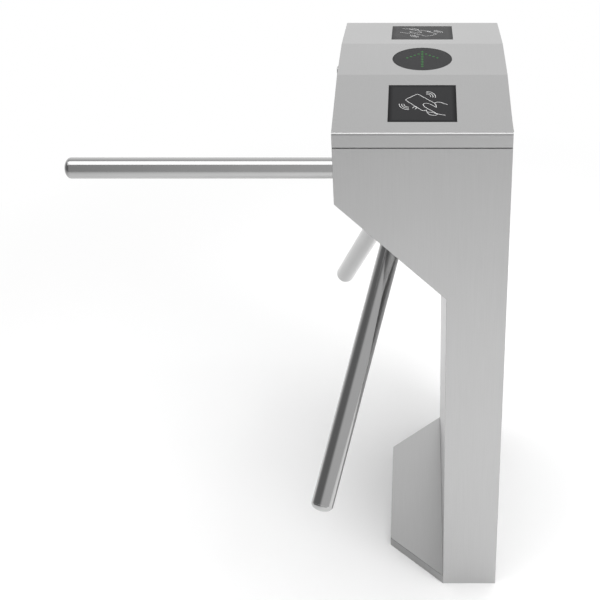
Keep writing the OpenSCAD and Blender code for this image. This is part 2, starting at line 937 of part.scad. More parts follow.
module arm_end_caps() {
    dome = [for (i = [0:dome_steps])
        [arm_r * cos(90 * i / dome_steps), arm_dome_h * sin(90 * i / dome_steps)]];
    color("whitesmoke") in_rotor_frame() for (turn = arm_angles) at_arm(turn)
        translate([0, 0, tube_end_s]) {
            rotate_extrude() polygon(concat([[0, 0]], dome));
            rod(tube_bore_r - socket_gap, -cap_plug_l, overrun);
        }
}

module lock_wheel() {
    root_r = lock_wheel_r - notch_depth;
    boss_u0 = wheel_u0 - wheel_boss_h;
    boss_u1 = wheel_u1 + wheel_boss_h;
    color("lightslategray") in_rotor_frame() difference() {
        union() {
            rod(lock_wheel_r, wheel_u0, wheel_u1);
            rod(wheel_boss_r, boss_u0, boss_u1);
        }
        rod(shaft_r + run_gap, boss_u0 - overrun, boss_u1 + overrun);
        for (i = [0:notch_count - 1]) rotate([0, 0, i * 360 / notch_count])
            translate([0, 0, wheel_u0 - overrun]) linear_extrude(lock_wheel_t + 2 * overrun)
                polygon([
                    [root_r, -notch_root_w / 2], [lock_wheel_r + overrun, -notch_tip_w / 2],
                    [lock_wheel_r + overrun, notch_tip_w / 2], [root_r, notch_root_w / 2]
                ]);
        for (i = [0:gear_holes - 1]) rotate([0, 0, i * 360 / gear_holes])
            translate([lock_wheel_hole_ring_r, 0, 0])
                rod(lock_wheel_hole_r, wheel_u0 - overrun, wheel_u1 + overrun);
    }
}

// Toothed outline with straight flanks; the first tooth is centred on the X axis
function gear_outline(teeth) =
    let (
        pitch_r = teeth * tooth_module / 2,
        tip_r = pitch_r + tooth_module,
        root_r = pitch_r - dedendum_share * tooth_module,
        half_w = PI * tooth_module / 4 - backlash / 4,
        slope = tan(pressure_angle),
        tip_w = half_w - tooth_module * slope,
        root_w = half_w + dedendum_share * tooth_module * slope
    )
    [for (i = [0:teeth - 1])
        let (a = i * 360 / teeth)
        each [
            root_r * [cos(a - asin(root_w / root_r)), sin(a - asin(root_w / root_r))],
            tip_r * [cos(a - asin(tip_w / tip_r)), sin(a - asin(tip_w / tip_r))],
            tip_r * [cos(a + asin(tip_w / tip_r)), sin(a + asin(tip_w / tip_r))],
            root_r * [cos(a + asin(root_w / root_r)), sin(a + asin(root_w / root_r))]
        ]];

module main_gear() {
    boss_u0 = gear_u0 - wheel_boss_h;
    boss_u1 = gear_u1 + wheel_boss_h;
    color("burlywood") in_rotor_frame() difference() {
        union() {
            translate([0, 0, gear_u0]) linear_extrude(gear_t) polygon(gear_outline(gear_teeth));
            rod(wheel_boss_r, boss_u0, boss_u1);
        }
        rod(shaft_r + run_gap, boss_u0 - overrun, boss_u1 + overrun);
        for (i = [0:gear_holes - 1]) rotate([0, 0, (i + 0.5) * 360 / gear_holes])
            translate([gear_hole_ring_r, 0, 0])
                rod(gear_hole_r, gear_u0 - overrun, gear_u1 + overrun);
    }
}

module encoder_disc() {
    slot_r = encoder_r - encoder_slot_inset;
    color("black") in_rotor_frame() difference() {
        union() {
            rod(encoder_r, encoder_u0, encoder_u1);
            rod(wheel_boss_r, shaft_step_u, encoder_u1 + wheel_boss_h);
        }
        rod(shaft_r + run_gap, shaft_step_u - overrun, encoder_u1 + wheel_boss_h + overrun);
        for (i = [0:notch_count - 1]) rotate([0, 0, i * 360 / notch_count])
            block(
                [slot_r - encoder_slot_l, -encoder_slot_w / 2, encoder_u0 - overrun],
                [slot_r, encoder_slot_w / 2, encoder_u1 + overrun]
            );
    }
}

module shaft_nut() {
    color("lightgray") in_rotor_frame() difference() {
        hex_rod(shaft_nut_r, shaft_step_u - shaft_nut_h, shaft_step_u);
        rod(thread_r + run_gap, shaft_step_u - shaft_nut_h - overrun, shaft_step_u + overrun);
    }
}

// Index crank

module at_crank() {
    in_rotor_frame() translate([0, crank_q, 0]) children();
}

module crank_shaft() {
    color("lightgray") at_crank() rod(crank_shaft_r, crank_u0, chassis_back_u - gap);
}

module index_pinion() {
    tooth_turn = -90 + 180 / pinion_teeth;
    color("lightgray") at_crank() difference() {
        rotate([0, 0, tooth_turn]) translate([0, 0, gear_u0])
            linear_extrude(gear_t) polygon(gear_outline(pinion_teeth));
        rod(crank_shaft_r + run_gap, gear_u0 - overrun, gear_u1 + overrun);
    }
}

module crank_disc() {
    color("gray") at_crank() {
        ring(crank_r, crank_shaft_r + run_gap, crank_u0, crank_u1);
        translate([0, crank_throw, 0]) {
            rod(crank_pin_r, crank_u0 - crank_pin_l, crank_u0 + overrun);
            rod(spring_bush_r, spring_u + crank_pin_l / 2 - gap, crank_u0 + overrun);
        }
    }
}

module rotary_damper() {
    back_u = chassis_back_u - damper_h;
    flange_u = chassis_back_u - damper_flange_t;
    pitch = (damper_h - damper_flange_t) / (damper_grooves + 1);
    color("dimgray") in_rotor_frame() difference() {
        translate([0, crank_q, 0]) difference() {
            union() {
                rod(damper_r, back_u, chassis_back_u);
                rod(damper_flange_r, flange_u, chassis_back_u);
            }
            rod(crank_shaft_r + run_gap, back_u - overrun, chassis_back_u + overrun);
            for (i = [1:damper_grooves]) translate([0, 0, back_u + i * pitch])
                ring(
                    damper_r + overrun, damper_r - damper_groove_depth,
                    -damper_groove_w / 2, damper_groove_w / 2
                );
        }
        at_damper_screws()
            rod(damper_screw_r + bolt_gap, flange_u - overrun, chassis_back_u + overrun);
    }
}

// Points of the spring's wire, from the post's hook through the coil to the pin's
// hook, as p, q and u about the pin's and the post's own places
function hook_points(q, sense, angles) =
    [for (a = angles) [spring_coil_r * cos(a), q + sense * spring_coil_r * sin(a), spring_u]];

function spring_points() =
    let (
        coil_l = spring_turns * spring_pitch,
        middle = (spring_pin_q + spring_post_q) / 2,
        q0 = middle - coil_l / 2,
        n = spring_turns * spring_steps
    )
    concat(
        hook_points(spring_pin_q, -1, [for (i = [hook_steps:-1:0]) hook_wrap_angle * i / hook_steps]),
        [for (i = [0:n])
            let (a = 360 * i / spring_steps)
            [spring_coil_r * cos(a), q0 + coil_l * i / n, spring_u + spring_coil_r * sin(a)]],
        hook_points(spring_post_q, 1, [for (i = [0:hook_steps]) hook_wrap_angle * i / hook_steps])
    );

function tangent(points, i) =
    unit(points[min(i + 1, len(points) - 1)] - points[max(i - 1, 0)]);

// The frame's first direction at each point, carried along with the least turning
function carried(points) =
    [for (
        i = 0, v = unit(cross(tangent(points, 0), [0, 0, 1]));
        i < len(points);
        i = i + 1,
        v = i < len(points)
            ? unit(v - tangent(points, i) * (v * tangent(points, i)))
            : v
    ) v];

// Tube of radius r swept along points, closed at both ends
module wire(points, r, sides) {
    first = carried(points);
    n = len(points);
    verts = [for (i = [0:n - 1])
        let (t = tangent(points, i), v = first[i], w = cross(t, v))
        for (k = [0:sides - 1])
            points[i] + r * (cos(360 * k / sides) * v + sin(360 * k / sides) * w)];
    walls = [for (i = [0:n - 2]) for (k = [0:sides - 1])
        let (
            a = i * sides + k, b = i * sides + (k + 1) % sides,
            c = a + sides, d = b + sides
        )
        each [[a, c, b], [b, c, d]]];
    ends = [
        [for (k = [0:sides - 1]) k],
        [for (k = [sides - 1:-1:0]) (n - 1) * sides + k]
    ];
    polyhedron(points = verts, faces = concat(walls, ends));
}

module index_spring() {
    color("silver") in_rotor_frame() wire(spring_points(), spring_wire_r, spring_sides);
}

// Pawls

// One pawl as it stands when it holds the wheel, drawn flat in p and q
module pawl_flat() {
    tip = notch_depth / 3 - pawl_depth;
    root = notch_depth / 3 + overrun;
    back = root + pawl_nose_h;
    translate([pawl_p, pawl_q]) {
        circle(r = pawl_boss_r);
        rotate(pawl_side_angle - 90) polygon(rounded(
            [
                [0, -pawl_boss_r / 2], [pawl_arm / 2, root],
                [pawl_arm - pawl_root_w / 2, root], [pawl_arm - pawl_tip_w / 2, tip],
                [pawl_arm + pawl_tip_w / 2, tip], [pawl_arm + pawl_root_w / 2, root],
                [pawl_arm + pawl_nose_w / 2, root], [pawl_arm + pawl_nose_w / 2, back],
                [0, pawl_boss_r - overrun]
            ],
            [0, 0, 0, pawl_edge_r / 2, pawl_edge_r / 2, 0, pawl_edge_r / 2, pawl_edge_r, 0]
        ));
        rotate(-pawl_swing_angle / 2) {
            polygon(box_outline([0, -pawl_bar_w / 2], [pawl_tail, pawl_bar_w / 2]));
            translate([pawl_tail, 0]) circle(r = pawl_tail_r);
        }
    }
}

module pawl() {
    translate([pawl_p, pawl_q, 0]) rotate([0, 0, pawl_swing_angle])
        translate([-pawl_p, -pawl_q, 0])
        difference() {
            translate([0, 0, wheel_u0]) linear_extrude(lock_wheel_t) pawl_flat();
            translate([pawl_p, pawl_q, 0]) {
                rod(pawl_pin_r + run_gap, wheel_u0 - overrun, wheel_u1 + overrun);
                rotate([0, 0, -pawl_swing_angle / 2]) translate([pawl_tail, 0, 0])
                    rod(link_r + link_gap, wheel_u0 - overrun, wheel_u1 + overrun);
            }
        }
}

module plunger() {
    side_u = lock_wheel_t / 2 + fork_gap;
    color("lightgray") translate([tail_p, tail_q, pawl_u]) {
        for (s = [-1, 1]) block(
            [-fork_half_w, -fork_l, min(s * side_u, s * (side_u + fork_t))],
            [fork_half_w, fork_half_w, max(s * side_u, s * (side_u + fork_t))]
        );
        block(
            [-fork_half_w, -fork_l, -side_u - fork_t],
            [fork_half_w, -fork_root_l, side_u + fork_t]
        );
        rod(link_r, -side_u - fork_t, side_u + fork_t);
        rotate([90, 0, 0]) rod(plunger_r, fork_l - overrun, fork_l + plunger_l);
    }
}

module pawl_a() {
    color("gold") in_rotor_frame() pawl();
}

module plunger_a() {
    in_rotor_frame() plunger();
}

module pawl_b() {
    color("gold") in_rotor_frame() mirror([1, 0, 0]) pawl();
}

module plunger_b() {
    in_rotor_frame() mirror([1, 0, 0]) plunger();
}

module both_sides() {
    children();
    mirror([1, 0, 0]) children();
}

module pivot_posts() {
    color("lightgray") in_rotor_frame() {
        both_sides() translate([pawl_p, pawl_q, 0]) {
            rod(pawl_post_r, wheel_u1 + gap, chassis_back_u);
            rod(pawl_pin_r, wheel_u0 - gap - clip_h, wheel_u1 + gap + overrun);
            rod(pawl_post_r, wheel_u0 - gap - clip_h, wheel_u0 - gap);
        }
        translate([0, spring_post_q, 0]) {
            rod(spring_post_r, crank_u0 - crank_pin_l, chassis_back_u);
            rod(spring_post_foot_r, chassis_back_u - spring_post_foot_h, chassis_back_u);
        }
    }
}

module at_solenoids() {
    in_rotor_frame() both_sides()
        translate([tail_p, tail_q - solenoid_drop, pawl_u]) rotate([90, 0, 0]) children();
}

// Open frame round a coil; Z runs from the mouth to the blind end
module solenoids() {
    half = solenoid_w / 2;
    color("darkgreen") at_solenoids() difference() {
        union() {
            block([-half, -half, 0], [half, half, solenoid_frame_t]);
            block([-half, -half, solenoid_l - solenoid_frame_t], [half, half, solenoid_l]);
            block([-half, half - solenoid_frame_t, 0], [half, half, solenoid_l]);
            rod(coil_r, overrun, solenoid_l - overrun);
        }
        rod(plunger_r + plunger_gap, -overrun, solenoid_l - solenoid_frame_t);
    }
}

module solenoid_brackets() {
    half = bracket_w / 2;
    top = chassis_back_u - pawl_u;
    color("gray") at_solenoids() {
        block(
            [-half, solenoid_w / 2, bracket_t],
            [half, solenoid_w / 2 + bracket_t, solenoid_l - bracket_t]
        );
        for (z = [bracket_t, solenoid_l - 2 * bracket_t]) block(
            [-half, solenoid_w / 2, z], [half, top, z + bracket_t]
        );
        block([-half, top - bracket_t, 0], [half, top, 2 * bracket_t]);
        block(
            [-half, top - bracket_t, solenoid_l - 2 * bracket_t],
            [half, top, solenoid_l + bracket_foot - bracket_t]
        );
    }
}

// Disc sensor, on the upper side of the shaft

module optical_sensor() {
    color("black") in_rotor_frame() difference() {
        block(
            [encoder_r - sensor_in, -sensor_w / 2, sensor_u - sensor_h / 2],
            [encoder_r + sensor_out, sensor_w / 2, sensor_u + sensor_h / 2]
        );
        block(
            [encoder_r - sensor_in - overrun, -sensor_w, sensor_u - sensor_slot_h / 2],
            [encoder_r + sensor_slot_l, sensor_w, sensor_u + sensor_slot_h / 2]
        );
    }
}

module sensor_bracket() {
    low_u = sensor_u - sensor_h / 2;
    color("gray") in_rotor_frame() {
        block(
            [sensor_post_p - sensor_post_w, -sensor_post_w / 2, low_u - sensor_arm_t],
            [sensor_post_p, sensor_post_w / 2, chassis_back_u]
        );
        block(
            [encoder_r, -sensor_w / 2, low_u - sensor_arm_t],
            [sensor_post_p, sensor_w / 2, low_u]
        );
    }
}

// Column equipment and control board

module equipment_plate() {
    color("lightgray") block(
        [sheet_t, -plate_half_w, plate_z0],
        [sheet_t + plate_t, plate_half_w, plate_z0 + plate_h]
    );
}

module power_supply() {
    x0 = sheet_t + plate_t;
    color("silver") difference() {
        block([x0, -supply_w / 2, supply_z], [x0 + supply_d, supply_w / 2, supply_z + supply_h]);
        for (i = [1:supply_slots])
            translate([0, 0, supply_z + i * supply_h / (supply_slots + 1)]) block(
                [x0 + supply_d - supply_slot_depth, -supply_slot_l / 2, -supply_slot_w / 2],
                [x0 + supply_d + overrun, supply_slot_l / 2, supply_slot_w / 2]
            );
    }
}

module terminal_rail() {
    x0 = sheet_t + plate_t;
    web = rail_h * rail_web_share;
    color("lightgray") union() {
        block([x0, -rail_l / 2, rail_z - web / 2], [x0 + rail_t, rail_l / 2, rail_z + web / 2]);
        for (s = [-1, 1]) {
            block(
                [x0, -rail_l / 2, rail_z + s * web / 2 - rail_t / 2],
                [x0 + rail_d, rail_l / 2, rail_z + s * web / 2 + rail_t / 2]
            );
            block(
                [x0 + rail_d - rail_t, -rail_l / 2, rail_z + min(s * web / 2, s * rail_h / 2)],
                [x0 + rail_d, rail_l / 2, rail_z + max(s * web / 2, s * rail_h / 2)]
            );
        }
    }
    color("tan") for (i = [0:block_count - 1])
        translate([x0 + rail_d, (i - block_count / 2) * block_pitch, rail_z]) difference() {
            block([0, 0, -block_h / 2], [block_d, block_w, block_h / 2]);
            for (s = [-1, 1]) translate([block_d, block_w / 2, s * block_hole_z])
                rotate([0, 90, 0]) rod(block_hole_r, -block_hole_depth, overrun);
        }
}

module at_board_corners() {
    for (y = [-1, 1]) for (z = [0, 1])
        translate([
            column_w - sheet_t, y * (board_l / 2 - board_inset),
            board_z + board_inset + z * (board_h - 2 * board_inset)
        ])
            rotate([0, -90, 0]) children();
}

module board_spacers() {
    color("gold") at_board_corners() rod(spacer_r, 0, board_standoff);
}

module control_board() {
    x1 = column_w - sheet_t - board_standoff;
    x0 = x1 - board_t;
    relay_pitch = board_l / (relay_count + 1);
    header_z = board_z + header_inset;
    color("green") block([x0, -board_l / 2, board_z], [x1, board_l / 2, board_z + board_h]);
    color("royalblue") for (i = [0:relay_count - 1])
        translate([
            x0, -board_l / 2 + (i + 0.5) * relay_pitch, board_z + board_h * relay_row_share
        ])
            block([-relay_h, 0, 0], [0, relay_w, relay_l]);
    color("black") for (share = chip_row_shares)
        translate([x0, board_l * chip_place_share, board_z + board_h * share])
            block([-chip_h, 0, 0], [0, chip_w, chip_l]);
    color("darkgreen") block(
        [x0 - header_h, -header_l / 2, header_z],
        [x0, header_l / 2, header_z + header_d]
    );
    color("black") for (i = [0:capacitor_count - 1])
        translate([
            x0, board_l * capacitor_place_share + i * 3 * capacitor_r,
            board_z + board_h * capacitor_row_share
        ])
            rotate([0, -90, 0]) rod(capacitor_r, 0, capacitor_h);
}

// Lid

module at_window(turn) {
    translate([mid_x, 0, 0]) rotate([0, 0, turn]) translate([0, -half_l, lid_z1])
        rotate([lid_slope_angle, 0, 0]) translate([0, lid_slope_l / 2, 0]) children();
}

module square_block(half, z0, z1) {
    block([-half, -half, z0], [half, half, z1]);
}

module at_lock() {
    translate([body_x0, 0, lock_z]) rotate([0, 90, 0]) children();
}

module lid_shell() {
    fold_out = [0, 0, bend_r, 0, 0, bend_r];
    fold_in = [0, 0, bend_r - sheet_t, 0, 0, bend_r - sheet_t];
    color("silver") difference() {
        along_x(body_x0, column_w) polygon(rounded(lid_outline, fold_out));
        along_x(body_x0 + sheet_t, column_w - sheet_t)
            polygon(rounded(inset(lid_outline, sheet_t), fold_in));
        block(
            [body_x0 + lid_flange_w, -half_l + lid_flange_w, lid_z0 - overrun],
            [column_w - lid_flange_w, half_l - lid_flange_w, lid_z0 + 2 * sheet_t]
        );
        block(
            [body_x0 + sheet_t, -lock_nut_r - keeper_notch, lid_z0 - overrun],
            [body_x0 + 2 * lid_flange_w, keeper_y1 + keeper_notch, lid_z0 + 2 * sheet_t]
        );
        for (turn = [0, 180]) at_window(turn)
            square_block(window_w / 2 + window_gap, -2 * sheet_t, overrun);
        translate([mid_x, 0, lid_z2]) rod(indicator_r + lens_gap, -2 * sheet_t, overrun);
        at_lock() rod(lock_body_r + run_gap, -overrun, 2 * sheet_t);
    }
}

module lid_hinge_leaves() {
    color("gray") hinge_leaves(1);
}

module reader_window(turn) {
    color("#3a3a3c") at_window(turn)
        square_block(window_w / 2, -window_recess - window_t, -window_recess);
}

module front_window() {
    reader_window(0);
}

module rear_window() {
    reader_window(180);
}

module reader_modules() {
    half = window_w / 2;
    seat = -window_recess - window_t;
    color("#222222") for (turn = [0, 180]) at_window(turn) difference() {
        square_block(half + reader_rim, -sheet_t - reader_h, -sheet_t);
        square_block(half + window_gap, seat, 0);
        square_block(half - reader_wall, -sheet_t - reader_h + reader_floor_h, seat + overrun);
    }
}

module at_indicator() {
    translate([mid_x, 0, lid_z2]) children();
}

module indicator_lens() {
    color("#2c2e2c") at_indicator() rod(indicator_r, -window_recess - lens_t, -window_recess);
}

module indicator_housing() {
    low = -sheet_t - indicator_h;
    seat = -window_recess - lens_t;
    color("#222222") at_indicator() difference() {
        rod(indicator_r + ring_w, low, -sheet_t);
        rod(indicator_r + lens_gap, seat, 0);
        rod(indicator_r - reader_wall, -led_board_drop - led_board_t, seat + overrun);
        rod(indicator_ledge_r, low + reader_floor_h, seat + overrun);
    }
}

function arrow_places() = concat(
    [for (i = [0:arrow_shaft_count - 1])
        [0, -arrow_half_l + 2 * arrow_half_l * i / (arrow_shaft_count - 1)]],
    [for (s = [-1, 1]) for (i = [0:arrow_head_count - 2])
        let (k = i / (arrow_head_count - 1))
        [s * arrow_head_x * (1 - k), arrow_head_y + (arrow_tip_y - arrow_head_y) * k]]
);

module indicator_leds() {
    board_r = indicator_r - reader_wall - gap;
    color("darkgreen") at_indicator() rod(board_r, -led_board_drop - led_board_t, -led_board_drop);
    color("lime") at_indicator() translate([0, 0, -led_board_drop])
        for (at = arrow_places()) translate(at) rod(led_r, -led_board_t / 2, led_h);
}

module lock_barrel() {
    color("silver") at_lock() difference() {
        union() {
            rotate_extrude() polygon([
                [0, 0], [0, -lock_head_h], [lock_head_r - lock_head_edge, -lock_head_h],
                [lock_head_r, lock_head_edge - lock_head_h], [lock_head_r, 0]
            ]);
            rod(lock_body_r, -overrun, sheet_t + lock_body_l);
            hex_rod(lock_nut_r, sheet_t, sheet_t + lock_nut_h);
        }
        rod(lock_plug_r + run_gap, -lock_head_h - overrun, sheet_t + lock_body_l + overrun);
    }
}

module lock_cam() {
    cam_x = sheet_t + lock_body_l + gap;
    color("gold") at_lock() difference() {
        union() {
            rod(lock_plug_r, -lock_head_h, cam_x);
            rod(lock_cam_w / 2, cam_x, cam_x + lock_cam_t);
            block([0, -lock_cam_w / 2, cam_x], [lock_cam_l, lock_cam_w / 2, cam_x + lock_cam_t]);
        }
        block(
            [-key_slot_l / 2, -key_slot_w / 2, -lock_head_h - overrun],
            [key_slot_l / 2, key_slot_w / 2, -lock_head_h + key_slot_depth]
        );
    }
}

housing();
floor_plate();
foot_cover();
conduit_grommet();
panel_frame();
access_panel();
panel_screws();
lid_seal();
lock_keeper();
body_hinge_leaves();
hinge_pins();
chassis_plate();
chassis_posts();
chassis_fasteners();
bearing_housing();
shaft_bearings();
pivot_posts();
solenoids();
solenoid_brackets();
rotary_damper();
index_spring();
sensor_bracket();
optical_sensor();
equipment_plate();
power_supply();
terminal_rail();
board_spacers();
control_board();
arm_hub();
hub_cap();
hub_bolts();
arm_tube_top();
arm_tube_near();
arm_tube_far();
arm_end_caps();
arm_root_plugs();
main_shaft();
shaft_spacers();
lock_wheel();
main_gear();
encoder_disc();
shaft_nut();
crank_shaft();
index_pinion();
crank_disc();
pawl_a();
plunger_a();
pawl_b();
plunger_b();
lid_shell();
lid_hinge_leaves();
front_window();
rear_window();
reader_modules();
indicator_lens();
indicator_housing();
indicator_leds();
lock_barrel();
lock_cam();
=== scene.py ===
"""Tripod turnstile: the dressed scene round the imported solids, in metres.

X runs across the passage, with the arms on the minus side, Y along the passage
and Z up. The sections follow the machine as it is put together, after the
camera and the studio.
"""

import json
import math

import bpy
import numpy as np
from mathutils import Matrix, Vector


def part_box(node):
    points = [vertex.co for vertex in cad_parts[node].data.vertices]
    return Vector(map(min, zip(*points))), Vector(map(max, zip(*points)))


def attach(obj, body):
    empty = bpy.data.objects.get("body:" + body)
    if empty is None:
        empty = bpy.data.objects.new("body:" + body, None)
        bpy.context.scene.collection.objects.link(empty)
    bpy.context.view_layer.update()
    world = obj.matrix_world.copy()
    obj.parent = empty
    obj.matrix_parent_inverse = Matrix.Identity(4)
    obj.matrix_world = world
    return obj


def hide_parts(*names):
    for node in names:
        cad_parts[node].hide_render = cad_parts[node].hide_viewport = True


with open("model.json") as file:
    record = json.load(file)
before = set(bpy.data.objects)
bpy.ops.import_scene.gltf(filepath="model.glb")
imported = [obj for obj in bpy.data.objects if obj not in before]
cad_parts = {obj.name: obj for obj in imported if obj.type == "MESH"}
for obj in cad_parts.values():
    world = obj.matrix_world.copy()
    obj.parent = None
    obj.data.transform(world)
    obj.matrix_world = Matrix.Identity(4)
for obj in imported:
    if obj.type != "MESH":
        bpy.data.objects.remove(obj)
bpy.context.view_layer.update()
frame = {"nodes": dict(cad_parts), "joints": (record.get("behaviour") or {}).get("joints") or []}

# Camera. It stands where the photograph was taken from: a little above head
# height in front of the cabinet, looking down along the passage. Its place and
# lens were solved from the cabinet's straight edges.

FRAME_PX = 600
FOCAL_PX = 1227.26
CENTRE_PX = (421.6, 233.06)
CAMERA_AT = (-0.04114, -1.94136, 1.76823)
CAMERA_DOWN = 30.18
SENSOR_WIDTH = 36
NEAREST, FURTHEST = 0.05, 60

camera_data = bpy.data.cameras.new("camera")
camera_data.sensor_width = SENSOR_WIDTH
camera_data.lens = SENSOR_WIDTH * FOCAL_PX / FRAME_PX
camera_data.shift_x = (FRAME_PX / 2 - CENTRE_PX[0]) / FRAME_PX
camera_data.shift_y = (CENTRE_PX[1] - FRAME_PX / 2) / FRAME_PX
camera_data.clip_start = NEAREST
camera_data.clip_end = FURTHEST
camera = bpy.data.objects.new("camera", camera_data)
camera.location = CAMERA_AT
camera.rotation_euler = (math.radians(90 - CAMERA_DOWN), 0, 0)
scene = bpy.context.scene
scene.collection.objects.link(camera)
scene.camera = camera
scene.view_settings.view_transform = "Standard"

# Studio. A photographer's white cove under a wide soft box, with a small one in front on
# the right, so that the faint shadow falls to the left. Metal mirrors the cove behind, a
# strip light overhead, a grey room in front and a dark screen on the left.

FRONT_DARK, FRONT_LIGHT = 0.17, 0.61
DARK_ACROSS, LIGHT_ACROSS = -0.52, 0.02
BACK_LOW, BACK_HIGH = 0.98, 0.9
LOW_UP, HIGH_UP = 0.25, 0.8
FRONT_ALONG, BACK_ALONG = 0.0, 1.1
STRIP_LIGHT = 2.2
STRIP_FRONT, STRIP_BACK = (-0.44, -0.39), (0.26, 0.19)
STRIP_ENDS, STRIP_UP = (0.6, 0.5), (0.5, 0.6)
PLAIN_LIGHT = 0.45
OVERHEAD_AT, OVERHEAD_AIM = (0, 0, 3.2), (0, 0, 0)
OVERHEAD_SIDE, OVERHEAD_WATTS = 3.0, 86
FRONT_AT, FRONT_AIM = (1.6, -1.8, 2.4), (0, 0, 0.3)
FRONT_SIDE, FRONT_WATTS = 1.5, 27.5
FLOOR_SIDE = 24
FLOOR_FADE, FLOOR_IN_METAL = 2.8, 0.81
WHITE_FROM, WHITE_TO = 0.9, 1.8
WHITE, FLOOR_WHITE = (1, 1, 1, 1), "#fbfbfb"


def node(tree, kind, links=None, **settings):
    """Adds a node: settings are its own options, and links gives a socket, by name or
    number, either a value or the output that feeds it."""
    made = tree.nodes.new("ShaderNode" + kind)
    for option, value in settings.items():
        setattr(made, option, value)
    for socket, value in (links or {}).items():
        if isinstance(value, bpy.types.NodeSocket):
            tree.links.new(value, made.inputs[socket])
        else:
            made.inputs[socket].default_value = value
    return made


world = bpy.data.worlds.new("studio")
world.use_nodes = True
sky = world.node_tree
sky.nodes.clear()
looking = node(sky, "TexCoord").outputs["Generated"]
across, along, up = node(sky, "SeparateXYZ", {"Vector": looking}).outputs

# The room in front runs from the dark screen on the left to pale grey on the right
room = node(
    sky, "MapRange", interpolation_type="SMOOTHSTEP",
    links={
        "Value": across, "From Min": DARK_ACROSS, "From Max": LIGHT_ACROSS,
        "To Min": FRONT_DARK, "To Max": FRONT_LIGHT,
    },
).outputs[0]
cove = node(
    sky, "MapRange", interpolation_type="SMOOTHSTEP",
    links={
        "Value": up, "From Min": LOW_UP, "From Max": HIGH_UP, "To Min": BACK_LOW, "To Max": BACK_HIGH,
    },
).outputs[0]
behind = node(
    sky, "MapRange", interpolation_type="SMOOTHSTEP",
    links={"Value": along, "From Min": FRONT_ALONG, "From Max": BACK_ALONG},
).outputs[0]
walls = node(sky, "Mix", {"Factor": behind, "A": room, "B": cove}, data_type="FLOAT").outputs[0]

# The strip light's four sharp edges: in front, behind, at both ends and below
sideways = node(sky, "Math", {0: across}, operation="ABSOLUTE").outputs[0]
edges = [
    node(sky, "MapRange", {"Value": direction, "From Min": dark_at, "From Max": lit_at}).outputs[0]
    for direction, (dark_at, lit_at) in (
        (along, STRIP_FRONT), (along, STRIP_BACK), (sideways, STRIP_ENDS), (up, STRIP_UP),
    )
]
strip = edges[0]
for edge in edges[1:]:
    strip = node(sky, "Math", {0: strip, 1: edge}, operation="MULTIPLY").outputs[0]
studio = node(sky, "Mix", {"Factor": strip, "A": walls, "B": STRIP_LIGHT}, data_type="FLOAT").outputs[0]

path = node(sky, "LightPath").outputs
seen_in_metal = node(sky, "Background", {"Color": WHITE, "Strength": studio}).outputs[0]
plain_light = node(sky, "Background", {"Color": WHITE, "Strength": PLAIN_LIGHT}).outputs[0]
seen_by_camera = node(sky, "Background", {"Color": WHITE, "Strength": 1.0}).outputs[0]
light = node(sky, "MixShader", {0: path["Is Glossy Ray"], 1: plain_light, 2: seen_in_metal}).outputs[0]
light = node(sky, "MixShader", {0: path["Is Camera Ray"], 1: light, 2: seen_by_camera}).outputs[0]
node(sky, "OutputWorld", {"Surface": light})
scene.world = world


def soft_box(name, at, aim, side, watts):
    """Square lamp at one point, turned to face another, that metal doesn't mirror."""
    data = bpy.data.lights.new(name, "AREA")
    data.shape = "SQUARE"
    data.size = side
    data.energy = watts
    box = bpy.data.objects.new(name, data)
    box.location = at
    x, y, z = np.subtract(at, aim)
    box.rotation_euler = (math.atan2(math.hypot(x, y), z), 0, math.atan2(x, -y) if x or y else 0)
    box.visible_glossy = False
    scene.collection.objects.link(box)


soft_box("overhead_soft_box", OVERHEAD_AT, OVERHEAD_AIM, OVERHEAD_SIDE, OVERHEAD_WATTS)
soft_box("front_soft_box", FRONT_AT, FRONT_AIM, FRONT_SIDE, FRONT_WATTS)


def srgb(code):
    """Linear red, green, blue and a full alpha of a colour written as #rrggbb."""
    channels = [int(code[i : i + 2], 16) / 255 for i in (1, 3, 5)]
    linear = [c / 12.92 if c <= 0.04045 else ((c + 0.055) / 1.055) ** 2.4 for c in channels]
    return (*linear, 1.0)


def new_object(name, points, faces, smooth=True):
    """Object of one mesh: points is an array of X, Y and Z, and faces lists corner numbers."""
    mesh = bpy.data.meshes.new(name)
    mesh.from_pydata(np.reshape(points, (-1, 3)).tolist(), [], faces)
    mesh.polygons.foreach_set("use_smooth", np.full(len(mesh.polygons), smooth))
    mesh.update()
    made = bpy.data.objects.new(name, mesh)
    scene.collection.objects.link(made)
    return made


def new_material(name):
    """Material with an empty node tree, and that tree."""
    material = bpy.data.materials.new(name)
    material.use_nodes = True
    material.node_tree.nodes.clear()
    return material, material.node_tree


# Matt white floor paint, rolled on: even, without gloss, and it takes the shadow.
# For metal it thins with distance into the room's walls, and far off the camera
# sees it as white as the cove.
floor_paint, tree = new_material("rolled_matt_floor_paint")
spot = node(tree, "TexCoord").outputs["Object"]
distance = node(tree, "VectorMath", {0: spot}, operation="LENGTH").outputs["Value"]
squared = node(tree, "Math", {0: distance, 1: distance}, operation="MULTIPLY").outputs[0]
whole = node(tree, "Math", {0: squared, 1: FLOOR_FADE**2}, operation="ADD").outputs[0]
faded = node(tree, "Math", {0: squared, 1: whole}, operation="DIVIDE").outputs[0]
far_off = node(
    tree, "MapRange", {"Value": distance, "From Min": WHITE_FROM, "From Max": WHITE_TO}
).outputs[0]
path = node(tree, "LightPath").outputs
thinned = node(tree, "MapRange", {"Value": faded, "To Min": 1 - FLOOR_IN_METAL}).outputs[0]
for_metal = node(tree, "Math", {0: thinned, 1: path["Is Glossy Ray"]}, operation="MULTIPLY").outputs[0]
for_camera = node(tree, "Math", {0: far_off, 1: path["Is Camera Ray"]}, operation="MULTIPLY").outputs[0]
paint = node(tree, "BsdfDiffuse", {"Color": srgb(FLOOR_WHITE)}).outputs[0]
